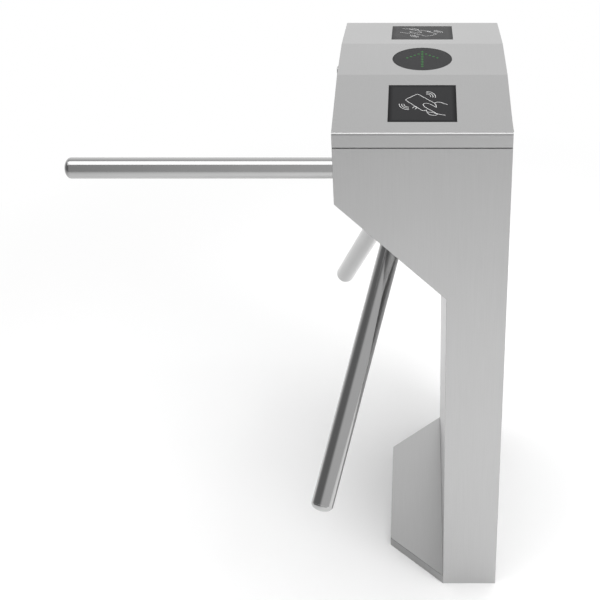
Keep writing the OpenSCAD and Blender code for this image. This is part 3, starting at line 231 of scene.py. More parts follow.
clear = node(tree, "BsdfTransparent").outputs[0]
cove_white = node(tree, "Emission", {"Color": WHITE, "Strength": 1.0}).outputs[0]
shown = node(tree, "MixShader", {0: for_metal, 1: paint, 2: clear}).outputs[0]
shown = node(tree, "MixShader", {0: for_camera, 1: shown, 2: cove_white}).outputs[0]
node(tree, "OutputMaterial", {"Surface": shown})
half = FLOOR_SIDE / 2
corners = [(-half, -half, 0), (half, -half, 0), (half, half, 0), (-half, half, 0)]
floor = new_object("floor", corners, [(0, 1, 2, 3)], smooth=False)
floor.data.materials.append(floor_paint)

# Floor plate, chassis plate and brackets. Laser-cut steel plate, 2 to 10 mm thick,
# sprayed with grey zinc-rich primer before assembly: matt and finely pebbled, dusty
# in clouds, with bare metal along worn edges.

MM = 0.001
PRIMER, PRIMER_DUST, BARE_STEEL = "#6a6d70", "#7d7f80", "#a9a9a6"

# The spray's real pebble, 0.3 mm, is too fine to show, so it is drawn 1.6 mm wide
PEBBLE_MM, DUST_CLOUD_MM = 1.6, 55
WORN_EDGE_MM = 0.6
GRAIN_DEEP = 0.05 * MM
EDGE_BEGINS, EDGE_WHOLE = 0.99, 0.85


def give(material, *names):
    """Puts a material on solids that the frame carries over."""
    for name in names:
        slots = frame["nodes"][name].data.materials
        slots.clear()
        slots.append(material)


def softened(tree, radius_mm):
    """Normal of edges rounded by this radius, and a mask that grows to 1 along them,
    where the rounded normal leaves the flat one."""
    rounded = node(tree, "Bevel", {"Radius": radius_mm * MM}, samples=6).outputs[0]
    flat = node(tree, "NewGeometry").outputs["True Normal"]
    agree = node(tree, "VectorMath", {0: rounded, 1: flat}, operation="DOT_PRODUCT").outputs["Value"]
    edge = node(
        tree, "MapRange", {"Value": agree, "From Min": EDGE_BEGINS, "From Max": EDGE_WHOLE}
    ).outputs[0]
    return rounded, edge


def sprayed(name, colour, dust, bare):
    """Sprayed primer: a pebbled bump, dust in soft clouds and bare metal on worn edges."""
    material, tree = new_material(name)
    place = node(tree, "TexCoord").outputs["Object"]
    pebble = node(
        tree, "TexNoise", {"Vector": place, "Scale": 1 / (PEBBLE_MM * MM), "Detail": 2.0}
    ).outputs[0]
    cloud = node(
        tree, "TexNoise", {"Vector": place, "Scale": 1 / (DUST_CLOUD_MM * MM), "Detail": 3.0}
    ).outputs[0]
    dusty = node(tree, "MapRange", {"Value": cloud, "From Min": 0.4, "From Max": 0.7}).outputs[0]
    paint = node(tree, "Mix", {0: dusty, 6: srgb(colour), 7: srgb(dust)}, data_type="RGBA").outputs[2]
    rounded, edge = softened(tree, WORN_EDGE_MM)
    worn = node(tree, "Math", {0: edge, 1: pebble}, operation="MULTIPLY").outputs[0]
    tone = node(tree, "Mix", {0: worn, 6: paint, 7: srgb(bare)}, data_type="RGBA").outputs[2]
    sheen = node(tree, "MapRange", {"Value": pebble, "To Min": 0.5, "To Max": 0.68}).outputs[0]
    bump = node(
        tree, "Bump", {"Strength": 0.2, "Distance": GRAIN_DEEP, "Height": pebble, "Normal": rounded}
    ).outputs[0]
    shader = node(
        tree, "BsdfPrincipled", {"Base Color": tone, "Roughness": sheen, "Metallic": worn, "Normal": bump}
    )
    node(tree, "OutputMaterial", {"Surface": shader.outputs[0]})
    return material


give(
    sprayed("sprayed_zinc_rich_primer", PRIMER, PRIMER_DUST, BARE_STEEL),
    "floor_plate", "chassis_plate", "solenoid_brackets", "sensor_bracket", "equipment_plate",
)

# Conduit grommet and lid seal. Moulded nitrile rubber, matt black, the hollows of its
# grain a shade darker: the grommet is pushed into the floor plate, and the seal is a
# strip stuck round the top flange, so that the lid lands on three soft ribs.

RUBBER, RUBBER_HOLLOW = "#1b1b1b", "#111111"

# The mould's real grain, 0.05 mm, is too fine to show, so it is drawn 0.8 mm wide
RUBBER_GRAIN_MM = 0.8
SEAL_RIBS, SEAL_RIB_DEEP = 3, 0.4 * MM
SEAL_SIDE = 9.6 * MM
SEAL_EDGE_STEEP, SEAL_EDGE_AT = 12, 1.02
SEAL_TURN = 5.2 * MM
MOULDED_EDGE = 0.4 * MM
SHEEN_SPREAD = 0.06


def moulded(name, colour, hollow, roughness, grain_mm, bump_strength=0.15):
    """Moulded plastic or rubber: an even fine texture left by the mould's sparked
    face, its hollows a shade darker and a little rougher, and soft edges."""
    material, tree = new_material(name)
    place = node(tree, "TexCoord").outputs["Object"]
    grain = node(
        tree, "TexNoise", {"Vector": place, "Scale": 1 / (grain_mm * MM), "Detail": 2.0}
    ).outputs[0]
    raised = node(tree, "MapRange", {"Value": grain, "From Min": 0.35, "From Max": 0.65}).outputs[0]
    tone = node(tree, "Mix", {0: raised, 6: srgb(hollow), 7: srgb(colour)}, data_type="RGBA").outputs[2]
    sheen = node(
        tree, "MapRange",
        {"Value": grain, "To Min": roughness + SHEEN_SPREAD, "To Max": roughness - SHEEN_SPREAD},
    ).outputs[0]
    rounded = node(tree, "Bevel", {"Radius": MOULDED_EDGE}, samples=4).outputs[0]
    bump = node(
        tree, "Bump", {"Strength": bump_strength, "Distance": GRAIN_DEEP, "Height": grain, "Normal": rounded}
    ).outputs[0]
    shader = node(tree, "BsdfPrincipled", {"Base Color": tone, "Roughness": sheen, "Normal": bump})
    node(tree, "OutputMaterial", {"Surface": shader.outputs[0]})
    return material


def rounded_rectangle(half, radius, steps=9):
    """Outline of a rectangle with round corners, anticlockwise, and the directions
    away from it: each corner's centre plus its radius turned through a quarter."""
    turned = np.radians(90) * np.arange(4)[:, None] + np.linspace(0, np.pi / 2, steps)
    away = np.stack([np.cos(turned), np.sin(turned)], -1)
    quarters = np.array([(1, 1), (-1, 1), (-1, -1), (1, -1)])
    centres = quarters[:, None] * (np.array(half) - radius)
    return (centres + radius * away).reshape(-1, 2), away.reshape(-1, 2)


def woven(copies, count, around, loop):
    """Faces that join the corners of one or several tubes, each of count rings with
    around corners. Each face joins a corner to the next one round and to the ring
    ahead; a loop joins its last ring to its first, and other tubes get end faces."""
    first = np.arange(copies)[:, None, None] * count * around
    i, j = np.arange(count if loop else count - 1)[:, None] * around, np.arange(around)
    ahead, beside = (i + around) % (count * around), (j + 1) % around
    quads = np.stack(np.broadcast_arrays(i + j, i + beside, ahead + beside, ahead + j), -1)
    faces = (first + quads.reshape(-1, 4)).reshape(-1, 4).tolist()
    if not loop:
        faces += (first[:, 0] + j[::-1]).tolist()
        faces += (first[:, 0] + (count - 1) * around + j).tolist()
    return faces


def carried(path, side, rise, profile, loop=False):
    """Corners and faces of a profile carried along one path, or along several at once.
    A corner is path + side times the profile's x + rise times its y. The profile runs
    anticlockwise with side to its right and rise up, and side x rise points along the
    path, so that the faces look outwards."""
    path, side, rise = (np.reshape(v, (-1, *np.shape(v)[-2:])) for v in (path, side, rise))
    sideways, upwards = side[:, :, None] * profile[:, :1], rise[:, :, None] * profile[:, 1:]
    corners = path[:, :, None] + sideways + upwards
    return corners.reshape(-1, 3), woven(*corners.shape[:3], loop)


nitrile_rubber = moulded(
    "moulded_nitrile_rubber", RUBBER, RUBBER_HOLLOW, roughness=0.72, grain_mm=RUBBER_GRAIN_MM
)
give(nitrile_rubber, "conduit_grommet")
seal_low, seal_high = (np.array(corner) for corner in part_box("lid_seal"))
outline, away = rounded_rectangle((seal_high - seal_low)[:2] / 2 - SEAL_SIDE / 2, SEAL_TURN)
outline, away = outline[::-1] + (seal_high + seal_low)[:2] / 2, away[::-1]
seal_path = np.column_stack([outline, np.full(len(outline), seal_low[2])])
outwards = np.column_stack([away, np.zeros(len(away))])
upright = np.tile([0.0, 0.0, 1.0], (len(away), 1))

# The strip's height is its body less a cosine for the grooves, run down to its edges
across_strip = np.linspace(1, -1, 31)
grooves = SEAL_RIB_DEEP * (1 + np.cos(2 * np.pi * SEAL_RIBS * across_strip / 2)) / 2
down_to_edge = np.minimum(1, SEAL_EDGE_STEEP * (SEAL_EDGE_AT - np.abs(across_strip)))
strip_high = ((seal_high - seal_low)[2] - grooves) * down_to_edge
strip_profile = np.column_stack([across_strip * SEAL_SIDE / 2, strip_high])
strip_profile = np.vstack([strip_profile, [(-SEAL_SIDE / 2, 0), (SEAL_SIDE / 2, 0)]])
ribbed_seal = new_object("ribbed_seal", *carried(seal_path, outwards, upright, strip_profile, loop=True))
ribbed_seal.data.materials.append(nitrile_rubber)
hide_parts("lid_seal")
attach(ribbed_seal, "cabinet")

# Housing, foot cover and access cover. Folded 304 stainless sheet, 2 mm thick, its welds ground flush, then
# belt-ground up and down: a satin face with faint upright lines, cloudy where hands have been, and duller
# where its edges were stoned. Along its edges and folds the tone is painted darker, a painted shade that
# dims their highlight. The foot cover's upright edge is painted darker still, under a dark line along its
# fold: painted shade and a painted shadow for the shadowed floor that it mirrors.

# The third tone is painted shade: a darker tone along edges and folds that dims their highlight
STEEL, STEEL_LINE, PAINTED_EDGE_SHADE = "#c5c5c5", "#c1c1c1", "#b2b2b2"
LINE_WIDE_MM, LINE_LONG_MM = 0.9, 70
HAND_CLOUD_MM = 110
# The first two tones are painted shade: the foot cover's upright edge, and a painted shadow line along its
# fold, both darker for the shadowed floor they mirror; the line is drawn 2 mm wide
PAINTED_SKIRT_SHADE, PAINTED_FOLD_SHADOW, FOLD_MM = "#adadad", "#8c8c8c", 2
SATIN_ROUGH, STONED_DULLER = 0.33, 0.3
SATIN_SPREAD = 0.03
FOOT_EDGE = 0.5 * MM


def linished(name, lines_along, shaded_below=None, edge_mm=1.0):
    """Belt-ground stainless with its lines along X, Y or Z, given as 0, 1 or 2. Real lines are 0.1 mm wide
    and can't show here, so they are drawn 0.9 mm wide and very faint. Edges and folds take a darker tone, a
    painted shade that dims their highlight. Below a given height the steel is painted darker, a painted
    shade for the shadowed floor that it mirrors, under a darker line along its fold, a painted shadow drawn
    2 mm wide so that it shows."""
    material, tree = new_material(name)
    place = node(tree, "TexCoord").outputs["Object"]
    stretch = [1 / (LINE_WIDE_MM * MM)] * 3
    stretch[lines_along] = 1 / (LINE_LONG_MM * MM)
    drawn_out = node(tree, "Mapping", {"Vector": place, "Scale": stretch}).outputs[0]
    lines = node(
        tree, "TexNoise", {"Vector": drawn_out, "Scale": 1.0, "Detail": 3.0, "Roughness": 0.6}
    ).outputs[0]
    clouds = node(
        tree, "TexNoise", {"Vector": place, "Scale": 1 / (HAND_CLOUD_MM * MM), "Detail": 3.0}
    ).outputs[0]
    depth = node(tree, "MapRange", {"Value": lines, "From Min": 0.3, "From Max": 0.7}).outputs[0]
    metal = node(tree, "Mix", {0: depth, 6: srgb(STEEL_LINE), 7: srgb(STEEL)}, data_type="RGBA").outputs[2]
    # Painted shade: below the given height the tone is darker, under a darker painted shadow line along the
    # fold
    if shaded_below is not None:
        height = node(tree, "SeparateXYZ", {"Vector": place}).outputs["Z"]
        for tone, below in ((PAINTED_FOLD_SHADOW, shaded_below), (PAINTED_SKIRT_SHADE, shaded_below - FOLD_MM * MM)):
            low = node(tree, "Math", {0: height, 1: below}, operation="LESS_THAN").outputs[0]
            metal = node(tree, "Mix", {0: low, 6: metal, 7: srgb(tone)}, data_type="RGBA").outputs[2]
    rounded, edge = softened(tree, edge_mm)
    # Painted shade: edges and folds take the darker edge tone, which dims their highlight
    tone = node(tree, "Mix", {0: edge, 6: metal, 7: srgb(PAINTED_EDGE_SHADE)}, data_type="RGBA").outputs[2]
    handled = node(
        tree, "MapRange",
        {"Value": clouds, "To Min": SATIN_ROUGH - SATIN_SPREAD, "To Max": SATIN_ROUGH + SATIN_SPREAD},
    ).outputs[0]
    cut = node(
        tree, "MapRange", {"Value": lines, "To Min": -SATIN_SPREAD, "To Max": SATIN_SPREAD}
    ).outputs[0]
    sheen = node(tree, "Math", {0: handled, 1: cut}, operation="ADD").outputs[0]
    sheen = node(tree, "Math", {0: edge, 1: STONED_DULLER, 2: sheen}, operation="MULTIPLY_ADD").outputs[0]
    bump = node(
        tree, "Bump", {"Strength": 0.05, "Distance": GRAIN_DEEP, "Height": lines, "Normal": rounded}
    ).outputs[0]
    shader = node(
        tree, "BsdfPrincipled", {"Base Color": tone, "Roughness": sheen, "Metallic": 1.0, "Normal": bump}
    )
    node(tree, "OutputMaterial", {"Surface": shader.outputs[0]})
    return material


give(linished("stainless_linished_upright", 2), "housing", "access_panel")
# The foot cover is painted darker from just under its top downwards: painted shade for the shadowed floor it
# mirrors
foot_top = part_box("foot_cover")[1].z
give(linished("stainless_linished_foot", 1, foot_top - FOOT_EDGE), "foot_cover")

# Access frame, hinges, keeper, posts, nuts, screws, spacers and root plugs. Mild
# steel with bright zinc plating, which dries in small bluish and straw patches.
# The posts are welded inside the slanted face, each with a ring of rippled weld.

ZINC = ("#b7b7b2", "#a9aeb4", "#bdb6a0")
WELD_METAL = ("#8d8f92", "#6f7b8c", "#9a8763")

# The plating dries in patches of 5 mm, and a weld's colours change every 4 mm
PLATING_PATCH_MM, WELD_PATCH_MM = 5, 4
POST_PLACES = [(p * MM, q * MM) for p in (-82, 82) for q in (-134, 178)]
POST_RADIUS, POST_FOOT = 8 * MM, 41.5 * MM
WELD_BEAD, WELD_RIPPLES, RIPPLE_SHARE = 1.7 * MM, 26, 0.09
FINER_GRAIN, METAL_SPREAD = 8, 0.08

joints = {joint["name"]: joint for joint in frame["joints"]}
rotor_at = np.array(joints["rotor_spin"]["pos_m"])
out_along_axis = np.array(joints["rotor_spin"]["axis"], float)
along_passage = np.array([0.0, 1.0, 0.0])
up_the_face = np.cross(along_passage, out_along_axis)


def metal(name, tones, roughness, patch_mm, edge_mm=0.3, bump_strength=0.06):
    """Plated, ground or cast metal: patches of three close tones, a finer grain in its
    sheen and bump, and softened edges."""
    material, tree = new_material(name)
    place = node(tree, "TexCoord").outputs["Object"]
    patch = node(
        tree, "TexNoise", {"Vector": place, "Scale": 1 / (patch_mm * MM), "Detail": 4.0}
    ).outputs[0]
    grain = node(
        tree, "TexNoise", {"Vector": place, "Scale": FINER_GRAIN / (patch_mm * MM), "Detail": 2.0}
    ).outputs[0]
    low = node(tree, "MapRange", {"Value": patch, "From Min": 0.3, "From Max": 0.5}).outputs[0]
    high = node(tree, "MapRange", {"Value": patch, "From Min": 0.5, "From Max": 0.7}).outputs[0]
    tone = node(tree, "Mix", {0: low, 6: srgb(tones[1]), 7: srgb(tones[0])}, data_type="RGBA").outputs[2]
    tone = node(tree, "Mix", {0: high, 6: tone, 7: srgb(tones[2])}, data_type="RGBA").outputs[2]
    sheen = node(
        tree, "MapRange",
        {"Value": grain, "To Min": roughness - METAL_SPREAD, "To Max": roughness + METAL_SPREAD},
    ).outputs[0]
    rounded = node(tree, "Bevel", {"Radius": edge_mm * MM}, samples=4).outputs[0]
    bump = node(
        tree, "Bump", {"Strength": bump_strength, "Distance": GRAIN_DEEP, "Height": grain, "Normal": rounded}
    ).outputs[0]
    shader = node(
        tree, "BsdfPrincipled", {"Base Color": tone, "Roughness": sheen, "Metallic": 1.0, "Normal": bump}
    )
    node(tree, "OutputMaterial", {"Surface": shader.outputs[0]})
    return material


def in_rotor(p, q, u):
    """Points in the row's frame from the tilted rotor frame: p runs up the slanted
    face, q along the passage and u outwards along the rotor's axis."""
    p, q, u = (np.asarray(v, float)[..., None] for v in (p, q, u))
    return rotor_at + p * up_the_face + q * along_passage + u * out_along_axis


give(
    metal("bright_zinc_plating", ZINC, roughness=0.36, patch_mm=PLATING_PATCH_MM),
    "panel_frame", "body_hinge_leaves", "lid_hinge_leaves", "hinge_pins", "lock_keeper",
    "chassis_posts", "chassis_fasteners", "panel_screws", "hub_bolts", "pivot_posts",
    "shaft_nut", "shaft_spacers", "arm_root_plugs",
)
lap = np.linspace(0, 2 * np.pi, 6 * WELD_RIPPLES, endpoint=False)
ripple = (1 + RIPPLE_SHARE * np.cos(WELD_RIPPLES * lap))[:, None]
from_post = np.cos(lap)[:, None] * up_the_face + np.sin(lap)[:, None] * along_passage
post_feet = np.array([in_rotor(p, q, POST_FOOT) for p, q in POST_PLACES])[:, None]
bead_turn = np.linspace(0, 2 * np.pi, 12, endpoint=False)
bead = WELD_BEAD * np.column_stack([np.cos(bead_turn), np.sin(bead_turn)])
weld_rings = carried(
    post_feet + (POST_RADIUS + WELD_BEAD / 2) * from_post,
    np.tile(ripple * from_post, (len(POST_PLACES), 1, 1)),
    np.tile(-ripple * out_along_axis, (len(POST_PLACES), 1, 1)),
    bead, loop=True,
)
post_welds = new_object("post_welds", *weld_rings)
post_welds.data.materials.append(
    metal("oxidised_weld_metal", WELD_METAL, roughness=0.42, patch_mm=WELD_PATCH_MM)
)
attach(post_welds, "cabinet")

# Bearing housing, bearings and shafts. The housing is a grey iron casting, dark,
# with the grain of the sand; it is bored for two sealed ball bearings. The rings,
# shafts, pinion and plungers are ground bright.

CAST_IRON = ("#57585a", "#4d4e50", "#636362")
GROUND = ("#c4c4c3", "#bcbdbf", "#c9c8c4")

# Patches 2.5 mm wide carry the sand's own grain of 0.3 mm. A grinding wheel's lines,
# 0.02 mm wide, are too fine to show, so ground steel is clouded every 3 mm instead
SAND_PATCH_MM, GROUND_CLOUD_MM = 2.5, 3

give(
    metal(
        "sand_cast_iron", CAST_IRON, roughness=0.55, patch_mm=SAND_PATCH_MM, edge_mm=0.8,
        bump_strength=0.3,
    ),
    "bearing_housing",
)
ground_steel = metal("ground_bearing_steel", GROUND, roughness=0.22, patch_mm=GROUND_CLOUD_MM)
give(
    ground_steel, "shaft_bearings", "main_shaft", "crank_shaft", "crank_disc", "index_pinion",
    "plunger_a", "plunger_b",
)

# Lock wheel and pawls. Tool steel hardened and tempered in oil, which leaves a dark
# skin with blue and brown colours in wide soft patches.

TEMPERED = ("#6e7073", "#56606e", "#7b6f60")
TEMPER_PATCH_MM = 14

give(
    metal("oil_tempered_tool_steel", TEMPERED, roughness=0.34, patch_mm=TEMPER_PATCH_MM),
    "lock_wheel", "pawl_a", "pawl_b",
)

# Main gear and damper. The gear is cut from cast nylon, waxy and cream-coloured;
# the damper's body is turned aluminium, anodised a dull black.

NYLON, NYLON_HOLLOW = "#d9d1b8", "#cfc5a8"
ANODISED = ("#2a2a2d", "#25262b", "#303033")
NYLON_CLOUD_MM, ANODISED_PATCH_MM = 3.0, 6

give(
    moulded(
        "machined_cast_nylon", NYLON, NYLON_HOLLOW, roughness=0.42, grain_mm=NYLON_CLOUD_MM,
        bump_strength=0.05,
    ),
    "main_gear",
)
give(
    metal("black_anodised_aluminium", ANODISED, roughness=0.38, patch_mm=ANODISED_PATCH_MM),
    "rotary_damper",
)

# Index spring. Round spring wire 2.5 mm thick, wound into 14 turns with a hook at
# each end, one on the crank's pin and one on its post: bright, with a thin dark
# line between the turns.

WIRE_RADIUS, COIL_RADIUS = 1.25 * MM, 7 * MM
SPRING_TURNS, SPRING_PITCH = 14, 3.3 * MM
CRANK_PIN_Q, SPRING_POST_Q, SPRING_U = 98.25 * MM, 178 * MM, -113 * MM
HOOK_SWEEP = 210

turned = np.linspace(0, 2 * np.pi * SPRING_TURNS, 28 * SPRING_TURNS + 1)
bent = np.radians(np.linspace(0, HOOK_SWEEP, 22))
coil_start = (CRANK_PIN_Q + SPRING_POST_Q - SPRING_TURNS * SPRING_PITCH) / 2

# The radius turns in the plane of q for each hook, and in the plane of u for the coil
hook_away = np.column_stack([np.cos(bent), np.sin(bent), np.zeros(len(bent))])
coil_away = np.column_stack([np.cos(turned), np.zeros(len(turned)), np.sin(turned)])
wire_away = np.vstack([hook_away[::-1] * [1, -1, 1], coil_away, hook_away])
coil_q = coil_start + SPRING_PITCH * turned / (2 * np.pi)
centre_q = np.concatenate([
    np.full(len(bent), CRANK_PIN_Q), coil_q, np.full(len(bent), SPRING_POST_Q),
])
wire_centre = [[0], [1], [0]] * centre_q + [[0], [0], [SPRING_U]]
wire_path = in_rotor(*(COIL_RADIUS * wire_away.T + wire_centre))
wire_side = in_rotor(*wire_away.T) - rotor_at
wire_along = np.gradient(wire_path, axis=0)
wire_along /= np.linalg.norm(wire_along, axis=1, keepdims=True)
wire_turn = np.linspace(0, 2 * np.pi, 10, endpoint=False)
wire_round = WIRE_RADIUS * np.column_stack([np.cos(wire_turn), np.sin(wire_turn)])
spring_wire = new_object(
    "index_spring_wire", *carried(wire_path, wire_side, np.cross(wire_along, wire_side), wire_round)
)
spring_wire.data.materials.append(ground_steel)
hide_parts("index_spring")
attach(spring_wire, "cabinet")

# Solenoids. Each is an open zinc-plated frame round a coil of enamelled copper
# wire, wrapped in dark green tape at its front end: the windings lie in close glossy
# rings, drawn 1.2 mm apart, since the real 0.4 mm wire is too fine to show.

WINDING_PITCH, WINDING_GROOVE = 1.2 * MM, 0.25 * MM
WINDING_RADIUS, WINDING_INNER = 12.6 * MM, 11.6 * MM
WINDING_P, WINDING_U = 96.81 * MM, -75 * MM
WINDING_Q = (-105.8 * MM, -56.8 * MM)
TAPE, ENAMEL, ENAMEL_GROOVE = "#20402c", "#8a4a26", "#3c1f12"
TAPE_WIDE, TAPE_STEP, SPECK_MM = 7 * MM, 6.6 * MM, 0.8

give(
    metal("zinc_plated_frame_steel", ZINC, roughness=0.4, patch_mm=PLATING_PATCH_MM), "solenoids"
)
winding_finish, tree = new_material("enamelled_copper_wire")
place = node(tree, "TexCoord").outputs["Object"]
passage_y = node(tree, "SeparateXYZ", {"Vector": place}).outputs["Y"]
into_tape = node(
    tree, "MapRange",
    {"Value": passage_y, "From Min": WINDING_Q[1] - TAPE_WIDE, "From Max": WINDING_Q[1] - TAPE_STEP},
).outputs[0]
speck = node(
    tree, "TexNoise", {"Vector": place, "Scale": 1 / (SPECK_MM * MM), "Detail": 2.0}
).outputs[0]
enamel = node(
    tree, "Mix", {0: speck, 6: srgb(ENAMEL_GROOVE), 7: srgb(ENAMEL)}, data_type="RGBA"
).outputs[2]
wrapped = node(tree, "Mix", {0: into_tape, 6: enamel, 7: srgb(TAPE)}, data_type="RGBA").outputs[2]
sheen = node(tree, "MapRange", {"Value": speck, "To Min": 0.22, "To Max": 0.4}).outputs[0]
shader = node(tree, "BsdfPrincipled", {"Base Color": wrapped, "Roughness": sheen, "Coat Weight": 0.3})
node(tree, "OutputMaterial", {"Surface": shader.outputs[0]})

# Radius over length and angle: the crown of each wire is a cosine of the length less
# the angle's share of one pitch, so that the groove climbs like the real winding
length = np.linspace(*WINDING_Q, 246)
angle = np.linspace(0, 2 * np.pi, 40, endpoint=False)
crown = np.abs(np.cos(np.pi * (length[None] / WINDING_PITCH) - angle[:, None] / 2))
outer = WINDING_RADIUS - WINDING_GROOVE * (1 - crown)
section = np.concatenate([outer, np.full((len(angle), 2), WINDING_INNER)], axis=1)
section_q = np.concatenate([length, WINDING_Q[::-1]])
for name, side in (("winding_a", 1), ("winding_b", -1)):
    points = in_rotor(
        side * WINDING_P + section * np.cos(angle)[:, None],
        np.broadcast_to(section_q, section.shape),
        WINDING_U + section * np.sin(angle)[:, None],
    )
    winding = new_object(name, points, woven(1, *section.shape, loop=True))
    winding.data.materials.append(winding_finish)
    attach(winding, "cabinet")

# Slotted disc, sensor, reader modules and the indicator's housing. Moulded ABS,
# black, with the even fine grain of a sparked mould.

ABS_BLACK, ABS_HOLLOW = "#202021", "#18181a"

# The sparked face's real grain, 0.1 mm, is too fine to show, so it is drawn 1 mm wide
ABS_GRAIN_MM = 1.0

give(
    moulded("moulded_black_abs", ABS_BLACK, ABS_HOLLOW, roughness=0.5, grain_mm=ABS_GRAIN_MM),
    "encoder_disc", "optical_sensor", "reader_modules", "indicator_housing",
)

# Hub and its cap. Aluminium castings, machined where the arms and the cap seat and
# then bead-blasted: pale grey, soft in its gloss, with a tiny even grain.

BLASTED = ("#bcbcbb", "#b6b6b6", "#c2c2c0")

# Soft clouds 9 mm wide carry a grain of an eighth of that. The beads' real dents are
# 0.1 mm wide, too fine to show, so the grain is drawn coarser
BLAST_CLOUD_MM = 9

give(
    metal(
        "bead_blasted_aluminium", BLASTED, roughness=0.34, patch_mm=BLAST_CLOUD_MM, edge_mm=0.8,
        bump_strength=0.05,
    ),
    "arm_hub", "hub_cap",
)

# Arms. Drawn 304 stainless tube, 38 mm across and 1.5 mm thick, buffed to a mirror
# that a faint waviness along the draw softens; the pressed domes are buffed with it.

TUBE_STEEL, TUBE_HAZE = "#c6c6c6", "#bfbfbf"
TUBE_ROUGH = 0.12
DRAW_WAVE_MM, BUFF_CLOUD_MM = 9, 60

buffed, tree = new_material("stainless_tube_buffed")
place = node(tree, "TexCoord").outputs["Object"]
waves = node(
    tree, "TexNoise", {"Vector": place, "Scale": 1 / (DRAW_WAVE_MM * MM), "Detail": 2.0}
).outputs[0]
clouds = node(
    tree, "TexNoise", {"Vector": place, "Scale": 1 / (BUFF_CLOUD_MM * MM), "Detail": 3.0}
).outputs[0]
tone = node(tree, "Mix", {0: clouds, 6: srgb(TUBE_HAZE), 7: srgb(TUBE_STEEL)}, data_type="RGBA").outputs[2]
sheen = node(
    tree, "MapRange", {"Value": clouds, "To Min": TUBE_ROUGH + 0.02, "To Max": TUBE_ROUGH - 0.02}
).outputs[0]
rounded = node(tree, "Bevel", {"Radius": 0.5 * MM}, samples=4).outputs[0]
bump = node(
    tree, "Bump", {"Strength": 0.02, "Distance": 0.1 * MM, "Height": waves, "Normal": rounded}
).outputs[0]
shader = node(
    tree, "BsdfPrincipled", {"Base Color": tone, "Roughness": sheen, "Metallic": 1.0, "Normal": bump}
)
node(tree, "OutputMaterial", {"Surface": shader.outputs[0]})
give(buffed, "arm_tube_top", "arm_tube_near", "arm_tube_far", "arm_end_caps")

# Power supply and spacers. The supply's case is folded galvanised sheet, with the
# flat grey spangle of hot-dip zinc; the board's spacers are turned from brass.

SPANGLE, BRASS = ("#a9acae", "#9da1a5", "#b6b8b8"), ("#b8995a", "#ae8d4e", "#c3a666")
SPANGLE_MM, BRASS_PATCH_MM = 12, 3

give(metal("hot_dip_galvanised_sheet", SPANGLE, roughness=0.42, patch_mm=SPANGLE_MM), "power_supply")
give(metal("turned_brass", BRASS, roughness=0.28, patch_mm=BRASS_PATCH_MM), "board_spacers")

# Terminals. Beige moulded polyamide blocks on a zinc-plated rail: the part of the
# solid behind the blocks' backs is the rail.

BLOCK_BEIGE, BLOCK_HOLLOW = "#a3987c", "#8f8468"
RAIL_FRONT, RAIL_STEP = 11.5 * MM, (0.01 * MM, -0.04 * MM)

# The blocks' real grain, 0.1 mm, is too fine to show, so it is drawn 1.5 mm wide
BLOCK_GRAIN_MM = 1.5

polyamide, tree = new_material("moulded_polyamide_on_zinc_rail")
place = node(tree, "TexCoord").outputs["Object"]
into_x = node(tree, "SeparateXYZ", {"Vector": place}).outputs["X"]
is_rail = node(
    tree, "MapRange",
    {"Value": into_x, "From Min": RAIL_FRONT + RAIL_STEP[0], "From Max": RAIL_FRONT + RAIL_STEP[1]},
).outputs[0]
grain = node(
    tree, "TexNoise", {"Vector": place, "Scale": 1 / (BLOCK_GRAIN_MM * MM), "Detail": 3.0}
).outputs[0]
block = node(
    tree, "Mix", {0: grain, 6: srgb(BLOCK_HOLLOW), 7: srgb(BLOCK_BEIGE)}, data_type="RGBA"
).outputs[2]
zinc = node(tree, "Mix", {0: grain, 6: srgb(ZINC[1]), 7: srgb(ZINC[2])}, data_type="RGBA").outputs[2]
tone = node(tree, "Mix", {0: is_rail, 6: block, 7: zinc}, data_type="RGBA").outputs[2]
sheen = node(tree, "MapRange", {"Value": grain, "To Min": 0.36, "To Max": 0.54}).outputs[0]
rounded = node(tree, "Bevel", {"Radius": MOULDED_EDGE}, samples=4).outputs[0]
shader = node(
    tree, "BsdfPrincipled",
    {"Base Color": tone, "Roughness": sheen, "Metallic": is_rail, "Normal": rounded},
)
node(tree, "OutputMaterial", {"Surface": shader.outputs[0]})
give(polyamide, "terminal_rail")

# Control board and the indicator's lamp board. Glass-fibre board under a glossy green
# solder mask, through which the copper tracks show paler. On the one stand blue relays,
# a green plug strip, and black chips and capacitors, and on the other clear green lamps.

MASK, TRACK = "#0c4526", "#1c6a3c"
RELAY_BLUE, STRIP_GREEN, CHIP_BLACK, LAMP_GREEN = "#2b4f8f", "#2f6b45", "#1a1a1b", "#6fa377"

# Real tracks are 0.5 mm wide, too fine to show, so they are drawn as cells of 5 mm
TRACK_MM = 5
BOARD_FRONT, FITTED_STEP = 88.4 * MM, (0.1 * MM, 0.2 * MM)
STRIP_TOP, RELAY_FOOT = 832 * MM, 880 * MM
LAMP_FOOT = 973.55 * MM

solder_mask, tree = new_material("solder_mask_and_components")
place = node(tree, "TexCoord").outputs["Object"]
into_x, _, up_z = node(tree, "SeparateXYZ", {"Vector": place}).outputs
cells = node(
    tree, "TexVoronoi", {"Vector": place, "Scale": 1 / (TRACK_MM * MM)},
    distance="CHEBYCHEV", feature="F1",
).outputs["Distance"]
is_track = node(tree, "MapRange", {"Value": cells, "From Min": 0.42, "From Max": 0.46}).outputs[0]
board = node(tree, "Mix", {0: is_track, 6: srgb(MASK), 7: srgb(TRACK)}, data_type="RGBA").outputs[2]
is_relay = node(tree, "Math", {0: up_z, 1: RELAY_FOOT}, operation="GREATER_THAN").outputs[0]
is_strip = node(tree, "Math", {0: up_z, 1: STRIP_TOP}, operation="LESS_THAN").outputs[0]
fitted = node(
    tree, "Mix", {0: is_relay, 6: srgb(CHIP_BLACK), 7: srgb(RELAY_BLUE)}, data_type="RGBA"
).outputs[2]
